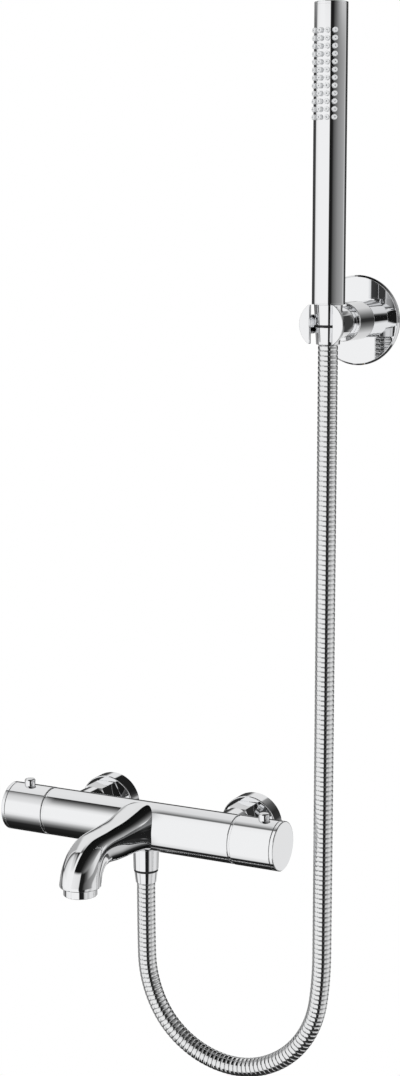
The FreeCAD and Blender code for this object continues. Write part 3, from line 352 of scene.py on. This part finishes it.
def hose_skin(line, around=36):
    """Radius along the hose: r = R - depth * |2 s - 1|^6 of the share s of each pitch, so each rib is a
    flat crest with rounded shoulders between two narrow grooves. The very ends are plain. The line lies
    in one upright plane, whose normal is one direction of every section."""
    steps = np.r_[0, np.cumsum(np.linalg.norm(np.diff(line, axis=0), axis=1))]
    ribbed = steps[-1] - 2 * plain_end
    count = int(round(ribbed / rib_pitch))
    ribs = (np.arange(count)[:, None] + rib_shares[None]).ravel()
    distance = np.r_[0, plain_end + ribs * (ribbed / count), steps[-1] - plain_end, steps[-1]]
    radius = hose_thick / 2 - groove_depth * np.r_[0, np.abs(2 * (ribs % 1.0) - 1) ** 6, 1, 0]
    spots = np.stack([np.interp(distance, steps, line[:, k]) for k in range(3)], 1)
    ahead = np.gradient(spots, distance, axis=0)
    ahead /= np.linalg.norm(ahead, axis=1)[:, None]
    plane = np.array([seat_x, seat_y - outlet_y, 0])
    sideways = np.cross(plane / np.linalg.norm(plane), [0, 0, 1])
    upward = np.cross(ahead, sideways)
    turn = np.linspace(0, 2 * np.pi, around, endpoint=False)
    return spots[:, None] + radius[:, None, None] * (
        np.cos(turn)[None, :, None] * sideways + np.sin(turn)[None, :, None] * upward[:, None])


def hose_cord(name, grid):
    """One cord: its share of the skin."""
    piece = formed(name, [(grid, False)], sharp=60.0)
    fitted(piece, hose_band, None, "hose")
    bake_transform(piece)


hose_band = metal("HoseBand", (0.80, 0.805, 0.81), 0.07)
hose_route = [(x / 1000, (outlet_y + (seat_y - outlet_y) * x / seat_x) / 1000, z / 1000)
              for x, z in hose_points]
hose_middle = hose_line(hose_route)
hose_grid = hose_skin(hose_middle)
grooves = np.arange(1, len(hose_grid) - 1, len(rib_shares))
meeting = grooves[np.argmin(np.abs(hose_grid[grooves].mean(1)[:, 2] - meeting_height))]
hose_cord("HoseLower", hose_grid[:meeting + 1])
hose_cord("HoseUpper", hose_grid[meeting:])

# The body: a cast brass barrel, plated, with its two inlet bosses behind and the outlet stub below,
# each with its bore. The spout grows out of its front, its top running level from the barrel's top.
# From here on, sizes are in millimetres.
axis_height, inlet_across = 7.5, 75
barrel_centre, barrel_radius, barrel_half = (0, -79, axis_height), 22, 95
boss_radius, boss_root, boss_face, boss_bottom = 16, 60, 40.8, 46
stub_radius, stub_root, stub_face, stub_bottom = 10.48, -7.5, 27, 12
bore_radius = 7
outlet_axis = (0, outlet_y, 0)
# For each axis, the two directions across it and the one along it.
directions = {"+x": ((0, 1, 0), (0, 0, 1), (1, 0, 0)), "-x": ((0, -1, 0), (0, 0, 1), (-1, 0, 0)),
              "-y": ((1, 0, 0), (0, 0, 1), (0, -1, 0)), "+z": ((1, 0, 0), (0, 1, 0), (0, 0, 1)),
              "-z": ((1, 0, 0), (0, -1, 0), (0, 0, -1))}
# Straight part of the spout: distance from the wall, top, underside and half width of each section.
spout_straight = [(79, 29.3, -13, 20.8), (90, 29, -12.5, 20.5), (102, 27.2, -9.8, 19.5),
                  (118, 25, -8, 18), (145, 23.9, -5.7, 17), (167, 23.3, -3.7, 16.3)]
# Bend of the spout, in equal turns about its pivot: outer and inner radius, and half width.
spout_bend = [(37.7, 9.3, 16.3), (39.6, 8.7, 16.8), (42, 8.4, 17.4), (44.8, 8.4, 18.2)]
mouth_height, mouth_radius, mouth_inside = -13.5, spout_bend[-1][2], 14.2
bend_pivot = np.array([0.0, -spout_straight[-1][0], mouth_height])
mouth_y = bend_pivot[1] - (spout_bend[-1][0] + spout_bend[-1][1]) / 2
spout_squareness, mouth_squareness = 3.0, 2.0


def softened(corners, steps=6):
    """Corners (radius, distance, rounding): each rounded corner c becomes points of the quadratic arc
    (1-s)^2 a + 2 s (1-s) c + s^2 b between a and b on its two sides, with one point more on each side
    just off the arc, so that the shading stays plain on the long faces."""
    just_off = 0.15
    share = np.linspace(0, 1, steps + 1)[:, None]
    spots = [np.array(corner[:2], float) for corner in corners]
    done = []
    for index, corner in enumerate(corners):
        here = spots[index]
        if len(corner) == 2:
            done.append(here)
            continue
        before, after = spots[index - 1] - here, spots[(index + 1) % len(spots)] - here
        before = before / np.linalg.norm(before) * corner[2]
        after = after / np.linalg.norm(after) * corner[2]
        first, last = here + before, here + after
        done.append(first + before * just_off)
        done += list((1 - share) ** 2 * first + 2 * share * (1 - share) * here + share ** 2 * last)
        done.append(last + after * just_off)
    return np.array(done)


def turned(corners, axis, centre, around=144):
    """A turned skin: p = centre + distance * w + radius * (cos t * u + sin t * v)."""
    profile = softened(corners)
    u, v, w = (np.array(direction, float) for direction in directions[axis])
    turn = np.linspace(0, 2 * np.pi, around, endpoint=False)
    rim = np.cos(turn)[:, None] * u + np.sin(turn)[:, None] * v
    grid = np.array(centre) + profile[:, 1, None, None] * w + profile[:, 0, None, None] * rim[None]
    return grid / 1000.0


def spout_stations():
    """One row for each section: its middle (x, y, z), lean, half height, half width and squareness."""
    rows = [(0, -out, (top + low) / 2, 0.0, (top - low) / 2, half, spout_squareness)
            for out, top, low, half in spout_straight]
    fading = np.linspace(spout_squareness, mouth_squareness, len(spout_bend) + 1)[1:]
    for index, (outer, inner, half) in enumerate(spout_bend):
        lean = np.pi / 2 * (index + 1) / len(spout_bend)
        outward = np.array([0, -np.sin(lean), np.cos(lean)])
        middle = bend_pivot + outward * (outer + inner) / 2
        rows.append((*middle, lean, (outer - inner) / 2, half, fading[index]))
    return np.array(rows)


def smooth_rows(table, along):
    """Cubic Hermite curves through the table's rows, at even distances along their middles: between
    rows a and b, w apart, (2s^3-3s^2+1) a + (s^3-2s^2+s) w a' + (3s^2-2s^3) b + (s^3-s^2) w b'."""
    knots = np.r_[0, np.cumsum(np.linalg.norm(np.diff(table[:, :3], axis=0), axis=1))]
    slopes = np.gradient(table, knots, axis=0)
    where = np.linspace(0, knots[-1], along)
    cell = np.clip(np.searchsorted(knots, where, side="right") - 1, 0, len(knots) - 2)
    width = (knots[cell + 1] - knots[cell])[:, None]
    s = (where - knots[cell])[:, None] / width
    return ((2 * s ** 3 - 3 * s ** 2 + 1) * table[cell] + (s ** 3 - 2 * s ** 2 + s) * width * slopes[cell]
            + (3 * s ** 2 - 2 * s ** 3) * table[cell + 1] + (s ** 3 - s ** 2) * width * slopes[cell + 1])


def spout_skin(along=140, around=160):
    """Rounded box sections |x / half width|^n + |v / half height|^n = 1, square to the spout's middle
    line, then rings about the mouth for its lip and the start of its bore."""
    rows = smooth_rows(spout_stations(), along)
    lean, high, wide, squareness = rows[:, 3], rows[:, 4, None], rows[:, 5, None], rows[:, 6, None]
    turn = np.linspace(0, 2 * np.pi, around, endpoint=False) + np.pi / around
    across, above = np.cos(turn), np.sin(turn)
    side = wide * np.sign(across) * np.abs(across) ** (2 / squareness)
    rise = high * np.sign(above) * np.abs(above) ** (2 / squareness)
    upward = np.column_stack([np.zeros(along), -np.sin(lean), np.cos(lean)])
    grid = rows[:, None, :3] + rise[..., None] * upward[:, None]
    grid[..., 0] += side
    lip_drop, bore_end, bore_taper = 2, -8.5, 0.1
    lip = softened([(mouth_radius, 0), (mouth_radius, lip_drop, 1), (mouth_inside, lip_drop)])[1:]
    spin = grid[-1] - [0, mouth_y, grid[-1, 0, 2]]
    spin /= np.linalg.norm(spin, axis=1)[:, None]
    ends = [spin * radius + [0, mouth_y, mouth_height - down] for radius, down in lip]
    ends.append(spin * (mouth_inside - bore_taper) + [0, mouth_y, bore_end])
    return np.concatenate([grid, np.array(ends)]) / 1000.0


chrome_plate = metal("ChromePlate", (0.86, 0.865, 0.875), 0.012, drift=0.02)
barrel_skin = turned([(0, -barrel_half), (barrel_radius, -barrel_half, 0.5),
                      (barrel_radius, barrel_half, 0.5), (0, barrel_half)], "+x", barrel_centre)
stub_skin = turned([(0, stub_root), (stub_radius, stub_root), (stub_radius, stub_face, 0.5),
                    (bore_radius, stub_face), (bore_radius, stub_bottom), (0, stub_bottom)],
                   "-z", outlet_axis)
boss_skins = [turned([(0, boss_root), (boss_radius, boss_root), (boss_radius, boss_face, 0.6),
                      (bore_radius, boss_face), (bore_radius, boss_bottom), (0, boss_bottom)],
                     "-y", (across, 0, axis_height)) for across in (-inlet_across, inlet_across)]
body_piece = formed("MixerBody", [(skin, False) for skin in [barrel_skin, stub_skin] + boss_skins])
fitted(body_piece, chrome_plate, "mixer", "body_casting")
fitted(formed("Spout", [(spout_skin(), False)]), chrome_plate, "mixer", "body_casting",
       mirrored=False)

# The handles: turned brass shells, each with a disc cap pressed into its end and a small push button
# that stands out of its top. All of it is plated.
handle_radius, handle_inside, handle_start, handle_end = 22.2, 19.5, 97.1, 135.65
cap_plug, cap_plug_start, cap_back, cap_face = 19.45, 133, 136, 139.5
button_across, button_radius, button_top = 121, 5, 27.7
flange_radius, flange_foot, flange_top = 6.3, 16.7, 18.2
shell_corners = [(handle_inside, handle_start), (handle_radius, handle_start, 0.5),
                 (handle_radius, handle_end, 0.35), (handle_inside, handle_end)]
cap_corners = [(0, cap_plug_start), (cap_plug, cap_plug_start), (cap_plug, cap_back),
               (handle_radius, cap_back, 0.3), (handle_radius, cap_face, 0.75), (0, cap_face)]
button_corners = [(0, flange_foot), (flange_radius, flange_foot, 0.2), (flange_radius, flange_top, 0.2),
                  (button_radius, flange_top), (button_radius, button_top, 1.8), (0, button_top)]
for side, across, name, label in (("-x", -button_across, "flow", "Flow"),
                                  ("+x", button_across, "temperature", "Temperature")):
    shell_piece = formed(label + "HandleShell", [(turned(shell_corners, side, barrel_centre), True)])
    fitted(shell_piece, chrome_plate, name + "_handle", name + "_handle_shell")
    cap_piece = formed(label + "HandleCap", [(turned(cap_corners, side, barrel_centre), False)])
    fitted(cap_piece, chrome_plate, name + "_handle", name + "_handle_cap")
    button_skin = turned(button_corners, "+z", (across,) + barrel_centre[1:], around=72)
    button_piece = formed(label + "Button", [(button_skin, False)])
    fitted(button_piece, chrome_plate, name + "_button", name + "_button")

# The covers: round pressed caps, plated, that hide the holes in the wall. Each sits on its offset
# union, whose front end is 7.5 mm higher, so the cover's own hole is that much off its middle.
cover_radius, cover_inside, cover_hole = 27.4, 26.2, 13.8
cover_face, cover_sheet, hole_zone = 15.2, 1.2, 20
cover_corners = [(cover_inside, 0), (cover_radius, 0, 0.2), (cover_radius, cover_face, 0.9),
                 (cover_hole, cover_face), (cover_hole, cover_face - cover_sheet),
                 (cover_inside, cover_face - cover_sheet)]
for across, name, label in ((-inlet_across, "left", "Left"), (inlet_across, "right", "Right")):
    cover_skin = turned(cover_corners, "-y", (across, 0, 0))
    from_middle = np.hypot(cover_skin[..., 0] * 1000 - across, cover_skin[..., 2] * 1000)
    cover_skin[..., 2] += np.where(from_middle < hole_zone, axis_height / 1000, 0.0)
    cover_piece = formed(label + "Cover", [(cover_skin, True)])
    fitted(cover_piece, chrome_plate, "mixer", "escutcheon_" + name)

# The union nuts: hexagonal brass nuts, plated, that clamp the bosses of the body to the wall unions.
# Each is chamfered at both ends and has a collar in front that holds the nipple.
nut_flats, nut_back, nut_front = 30.0, 15.5, 40.5
nut_bore, collar_hole, collar_deep = 13.25, 10.55, 2.5


def nut_skin(across, columns=144):
    """A hexagon: r(t) = half the flats over cos of the angle from the nearest flat's middle, with
    shallow cones on both ends that leave rounded corners, and a smooth bore."""
    turn = np.linspace(0, 2 * np.pi, columns, endpoint=False)
    sixth = np.pi / 3
    corner = nut_flats / 2 / np.cos(turn % sixth - sixth / 2)
    end_share, cone_slope = 0.97, 0.55
    end_radius = nut_flats / 2 * end_share
    drop = (corner - end_radius) * cone_slope
    rim = np.stack([np.cos(turn), np.zeros(columns), np.sin(turn)], 1)
    rows = []
    for radius, out in ((nut_bore, nut_back), (end_radius, nut_back), (corner, nut_back + drop),
                        (corner, nut_front - drop), (end_radius, nut_front), (collar_hole, nut_front),
                        (collar_hole, nut_front - collar_deep), (nut_bore, nut_front - collar_deep)):
        row = rim * np.broadcast_to(radius, columns)[:, None]
        row[:, 1] = -out
        rows.append(row + [across, 0, axis_height])
    return np.array(rows) / 1000.0


nut_skins = [(nut_skin(across), True) for across in (-inlet_across, inlet_across)]
nuts_piece = formed("UnionNuts", nut_skins, sharp=25.0)
fitted(nuts_piece, chrome_plate, "mixer", "union_nuts")

# The aerator: a plated brass ring screwed into the spout's mouth, round a dark moulded insert that
# sits a little deeper. Both stay out of the mirror images in the spout.
mouth_axis = (0, mouth_y, 0)
ring_inside, ring_thread, ring_radius, ring_lip = 11.45, 14, 14.8, 10.4
ring_root, ring_shoulder, ring_face, ring_step = 3, 15.5, 23, 22
insert_radius, insert_root, insert_rim, insert_face = 11.4, 7, 9.12, 21


def moulded(name, colour, rough):
    """Moulded plastic or rubber: a fine pebbled skin from noise, and a little drift in its gloss."""
    made = bpy.data.materials.new(name)
    made.use_nodes = True
    tree = made.node_tree
    link = tree.links.new
    shader = tree.nodes["Principled BSDF"]
    shader.inputs["Base Color"].default_value = colour + (1,)
    where = shader_node(tree, "ShaderNodeTexCoord")
    pebbles = shader_node(tree, "ShaderNodeTexNoise", Scale=900.0, Detail=4.0)
    bump = shader_node(tree, "ShaderNodeBump", Strength=0.35, Distance=0.00004)
    drift = shader_node(tree, "ShaderNodeMapRange", _3=rough - 0.06, _4=rough + 0.08)
    link(where.outputs["Object"], pebbles.inputs["Vector"])
    link(pebbles.outputs[0], bump.inputs["Height"])
    link(bump.outputs[0], shader.inputs["Normal"])
    link(pebbles.outputs[0], drift.inputs[0])
    link(drift.outputs[0], shader.inputs["Roughness"])
    return made


dark_plastic = moulded("DarkPlastic", (0.03, 0.03, 0.033), 0.42)
ring_skin = turned([(ring_inside, ring_root), (ring_thread, ring_root), (ring_thread, ring_shoulder),
                    (ring_radius, ring_shoulder, 0.3), (ring_radius, ring_face, 0.6),
                    (ring_lip, ring_face, 0.3), (ring_lip, ring_step), (ring_inside, ring_step)],
                   "-z", mouth_axis)
fitted(formed("AeratorRing", [(ring_skin, True)]), chrome_plate, "mixer", "aerator_ring",
       mirrored=False)
insert_skin = turned([(0, insert_root), (insert_radius, insert_root), (insert_radius, ring_step, 0.2),
                      (insert_rim, ring_step, 0.2), (insert_rim, insert_face), (0, insert_face)],
                     "-z", mouth_axis)
fitted(formed("AeratorInsert", [(insert_skin, False)]), dark_plastic, "mixer", "aerator_insert",
       mirrored=False)

# The lower hose end: a plated nut on the outlet stub, a dark rubber ring under it and a plated ferrule
# that tapers to the hose. Their bore passes the insert, which is hidden.
insert_bore = 6.05
nut_thread, nut_top, nut_shoulder, nut_foot = 10.53, 14.8, 31, 34.8
nut_top_radius, nut_foot_radius, dark_ring_radius, dark_ring_foot = 11.9, 11.45, 11.1, 36.8
ferrule_top_radius, ferrule_foot_radius, ferrule_foot = 10.7, 9.4, 47.5
black_rubber = moulded("BlackRubber", (0.012, 0.012, 0.013), 0.55)
lower_pieces = (
    ("LowerNut", [(nut_thread, nut_top), (nut_top_radius, nut_top, 0.3), (nut_foot_radius, nut_foot, 0.4),
                  (insert_bore, nut_foot), (insert_bore, nut_shoulder), (nut_thread, nut_shoulder)],
     chrome_plate, "chrome", "lower_hose_nut"),
    ("LowerDarkRing", [(insert_bore, nut_foot), (dark_ring_radius, nut_foot, 0.2),
                       (dark_ring_radius, dark_ring_foot, 0.2), (insert_bore, dark_ring_foot)],
     black_rubber, "rubber", "lower_dark_ring"),
    ("LowerFerrule", [(insert_bore, dark_ring_foot), (ferrule_top_radius, dark_ring_foot, 0.3),
                      (ferrule_foot_radius, ferrule_foot, 0.5), (insert_bore, ferrule_foot)],
     chrome_plate, "chrome", "lower_ferrule"))
for title, corners, finish, slot, node in lower_pieces:
    lower_piece = formed(title, [(turned(corners, "-z", outlet_axis), True)])
    fitted(lower_piece, finish, "mixer", node)

# The wall part of the holder: a round plated plate with a bevelled edge, and a hollow post that a grub
# screw holds on the hidden wall plate. The post's front wall takes the pivot of the holder.
holder_centre = (seat_x, 0, 465.8)
plate_radius, plate_hole, plate_thick, plate_bevel = 39.1, 13.95, 3, 1.5
post_radius, post_inside, post_face, post_wall, pivot_hole = 16.5, 14, 34.8, 4.0, 6.05
plate_skin = turned([(plate_hole, 0), (plate_radius, 0, 0.15),
                     (plate_radius, plate_thick - plate_bevel, 0.3),
                     (plate_radius - plate_bevel, plate_thick, 0.3), (plate_hole, plate_thick)],
                    "-y", holder_centre, around=192)
fitted(formed("Rosette", [(plate_skin, True)], sharp=25.0), chrome_plate, "mixer", "rosette",
       mirrored=False)
post_skin = turned([(post_inside, plate_thick), (post_radius, plate_thick, 0.3),
                    (post_radius, post_face, 0.8), (pivot_hole, post_face),
                    (pivot_hole, post_face - post_wall), (post_inside, post_face - post_wall)],
                   "-y", holder_centre)
fitted(formed("Post", [(post_skin, True)]), chrome_plate, "mixer", "post")

# The swivelling holder: a turned neck with a front disc, flat above and below, plated. The tapered
# seat and the slot, which lets the hose in from the front, are cut into it.
seat_axis = (seat_x, seat_y, 0)
neck_radius, disc_radius, disc_back, disc_face = 13.5, 20, 77, 81.3
stem_radius, stem_root = 6, 30.8
seat_foot_radius, seat_top_radius, seat_foot, seat_top = 11.35, 13.6, 465, 502
slot_half, slot_low, slot_high = 10.9, 440, 492
flat_top, flat_foot, flat_low, flat_half, flat_back = 482.1, 449.5, 425, 25, -72
cut_front, carved_edge = -86.3, 0.3


def box_piece(name, low, high):
    """A block between two corners."""
    (x0, y0, z0), (x1, y1, z1) = low, high
    loop = np.array([[x0, y0], [x1, y0], [x1, y1], [x0, y1]])
    grid = np.array([np.column_stack([loop, np.full(4, z)]) for z in (z0, z1)]) / 1000.0
    return formed(name, [(grid, False)])


def carved(name, base, cutters, edge):
    """The base with each cutter's room taken out, then a narrow bevel on the hard edges."""
    for cutter in cutters:
        cut = base.modifiers.new("Carve", "BOOLEAN")
        cut.operation = "DIFFERENCE"
        cut.solver = "EXACT"
        cut.object = cutter
    rim = base.modifiers.new("Rim", "BEVEL")
    rim.width = edge / 1000
    rim.segments = 3
    rim.limit_method = "ANGLE"
    rim.angle_limit = math.radians(40)
    carving = bpy.data.meshes.new_from_object(base.evaluated_get(bpy.context.evaluated_depsgraph_get()))
    for item in [base] + cutters:
        bpy.data.objects.remove(item)
    carving.shade_smooth()
    carving.set_sharp_from_angle(angle=math.radians(35))
    carving.name = name
    piece = bpy.data.objects.new(name, carving)
    bpy.context.scene.collection.objects.link(piece)
    return piece


neck_skin = turned([(0, stem_root), (stem_radius, stem_root), (stem_radius, post_face),
                    (neck_radius, post_face, 0.4), (neck_radius, disc_back), (disc_radius, disc_back, 0.5),
                    (disc_radius, disc_face, 0.6), (0, disc_face)], "-y", holder_centre, around=192)
seat_skin = turned([(0, slot_low), (seat_foot_radius, slot_low), (seat_foot_radius, seat_foot),
                    (seat_top_radius, seat_top), (0, seat_top)], "+z", seat_axis)
holder_cutters = [formed("Seat", [(seat_skin, False)])]
for title, half, back, low, high in (("Slot", slot_half, seat_y, slot_low, slot_high),
                                     ("FlatTop", flat_half, flat_back, flat_top, seat_top),
                                     ("FlatFoot", flat_half, flat_back, flat_low, flat_foot)):
    holder_cutters.append(box_piece(title, (seat_x - half, cut_front, low), (seat_x + half, back, high)))
holder_piece = carved("Holder", formed("Neck", [(neck_skin, False)]), holder_cutters, carved_edge)
fitted(holder_piece, chrome_plate, "holder", "holder")

# The upper hose end, which sits in the holder: a plated cone nut on the handset's tail, a dark rubber
# ring and a plated ferrule. The nut and the ring stay out of the mirror images in the seat.
cone_foot, cone_floor, cone_top, cone_top_radius = 465, 467.3, 482, 12.1
upper_ring_foot, upper_ferrule_foot = 463, 448.5
upper_ferrule_top_radius, upper_ferrule_foot_radius = 11, 10
upper_pieces = (
    ("UpperNut", [(insert_bore, cone_foot), (dark_ring_radius, cone_foot, 0.3),
                  (cone_top_radius, cone_top, 0.3), (nut_thread, cone_top), (nut_thread, cone_floor),
                  (insert_bore, cone_floor)],
     chrome_plate, "chrome", "upper_hose_nut", False),
    ("UpperDarkRing", [(insert_bore, upper_ring_foot), (dark_ring_radius, upper_ring_foot, 0.2),
                       (dark_ring_radius, cone_foot, 0.2), (insert_bore, cone_foot)],
     black_rubber, "rubber", "upper_dark_ring", False),
    ("UpperFerrule", [(insert_bore, upper_ferrule_foot),
                      (upper_ferrule_foot_radius, upper_ferrule_foot, 0.5),
                      (upper_ferrule_top_radius, upper_ring_foot, 0.3), (insert_bore, upper_ring_foot)],
     chrome_plate, "chrome", "upper_ferrule", True))
for title, corners, finish, slot, node, mirrored in upper_pieces:
    upper_piece = formed(title, [(turned(corners, "+z", seat_axis), True)])
    fitted(upper_piece, finish, "hose_end", node, mirrored)

# The handset: a plated tube with a pressed cap on top. Its nozzles stand on a grey silicone mat inside
# and reach through the front of the tube in four columns.
tube_radius, tube_inside, tube_foot, tube_top = 14, 12.8, 483.1, 727
cap_foot, cap_top = 722, 729.5
nozzle_rows, nozzle_columns, row_pitch, column_turn, first_row = 12, 4, 6.35, 24, 636
nozzle_radius, nozzle_root, nozzle_tip = 2.2, 11.6, 17
hole_radius, hole_floor = 0.6, 15.8
tube_skin = turned([(tube_inside, tube_foot), (tube_radius, tube_foot, 0.15), (tube_radius, tube_top, 0.1),
                    (tube_inside, tube_top)], "+z", seat_axis, around=192)
fitted(formed("HandsetTube", [(tube_skin, True)]), chrome_plate, "handset", "handset_tube")
top_skin = turned([(0, cap_foot), (tube_inside, cap_foot), (tube_inside, tube_top),
                   (tube_radius, tube_top, 0.1), (tube_radius, cap_top, 0.7), (0, cap_top)],
                  "+z", seat_axis, around=192)
fitted(formed("HandsetCap", [(top_skin, False)]), chrome_plate, "handset", "handset_cap")


def nozzle_skins(around=16):
    """Each nozzle is a short turned peg with a rounded tip and a small drilled hole, square to the
    tube: p = out * outward + radius * (cos t * side + sin t * up), set in rows and in columns that
    are even turns about the front."""
    profile = softened([(0, nozzle_root), (nozzle_radius, nozzle_root), (nozzle_radius, nozzle_tip, 0.5),
                        (hole_radius, nozzle_tip), (hole_radius, hole_floor), (0, hole_floor)], steps=3)
    turn = np.linspace(0, 2 * np.pi, around, endpoint=False)
    skins = []
    for column in range(nozzle_columns):
        lean = math.radians(column_turn * (column - (nozzle_columns - 1) / 2))
        outward = np.array([math.sin(lean), -math.cos(lean), 0])
        side = np.array([math.cos(lean), math.sin(lean), 0])
        rim = np.cos(turn)[:, None] * side + np.sin(turn)[:, None] * np.array([0, 0, 1])
        peg = profile[:, 1, None, None] * outward + profile[:, 0, None, None] * rim
        for row in range(nozzle_rows):
            skins.append(((peg + [seat_x, seat_y, first_row + row_pitch * row]) / 1000.0, False))
    return skins


grey_silicone = moulded("GreySilicone", (0.74, 0.75, 0.76), 0.45)
fitted(formed("NozzleMat", nozzle_skins(), sharp=50.0), grey_silicone, "handset", "nozzle_mat")

# The pieces that show little or not at all, such as unions, cartridges, seals and screws. They keep
# their plain solids and get their own finishes, and a few beside polished metal aren't mirrored in it.
bare_brass = metal("BareBrass", (0.62, 0.46, 0.24), 0.22, drift=0.12)
zinc_steel = metal("ZincSteel", (0.55, 0.56, 0.57), 0.25, drift=0.12)
plain_solids = (
    (dark_plastic, ("inlet_check_valves", "outlet_check_valve", "wall_plugs", "pivot_washer",
                    "flow_limiter")),
    (black_rubber, ("inlet_washers", "cartridge_seals", "aerator_seal", "lower_hose_washer",
                    "upper_hose_washer")),
    (zinc_steel, ("wall_plate", "fixing_screws", "post_grub_screw", "pivot_screw", "flow_handle_screw",
                  "temperature_handle_screw", "flow_button_spring", "temperature_button_spring")),
    (bare_brass, ("s_union_left", "s_union_right", "inlet_nipples", "flow_cartridge",
                  "temperature_cartridge", "cartridge_nuts", "flow_spindle", "temperature_spindle",
                  "lower_hose_insert", "upper_hose_insert")),
    (chrome_plate, ("stop_rings", "handset_tail")))
for finish, names in plain_solids:
    for name in names:
        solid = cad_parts[name]
        solid.data.materials.clear()
        solid.data.materials.append(finish)
for name in ("aerator_seal", "upper_hose_insert", "upper_hose_washer", "pivot_screw", "pivot_washer"):
    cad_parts[name].visible_glossy = False
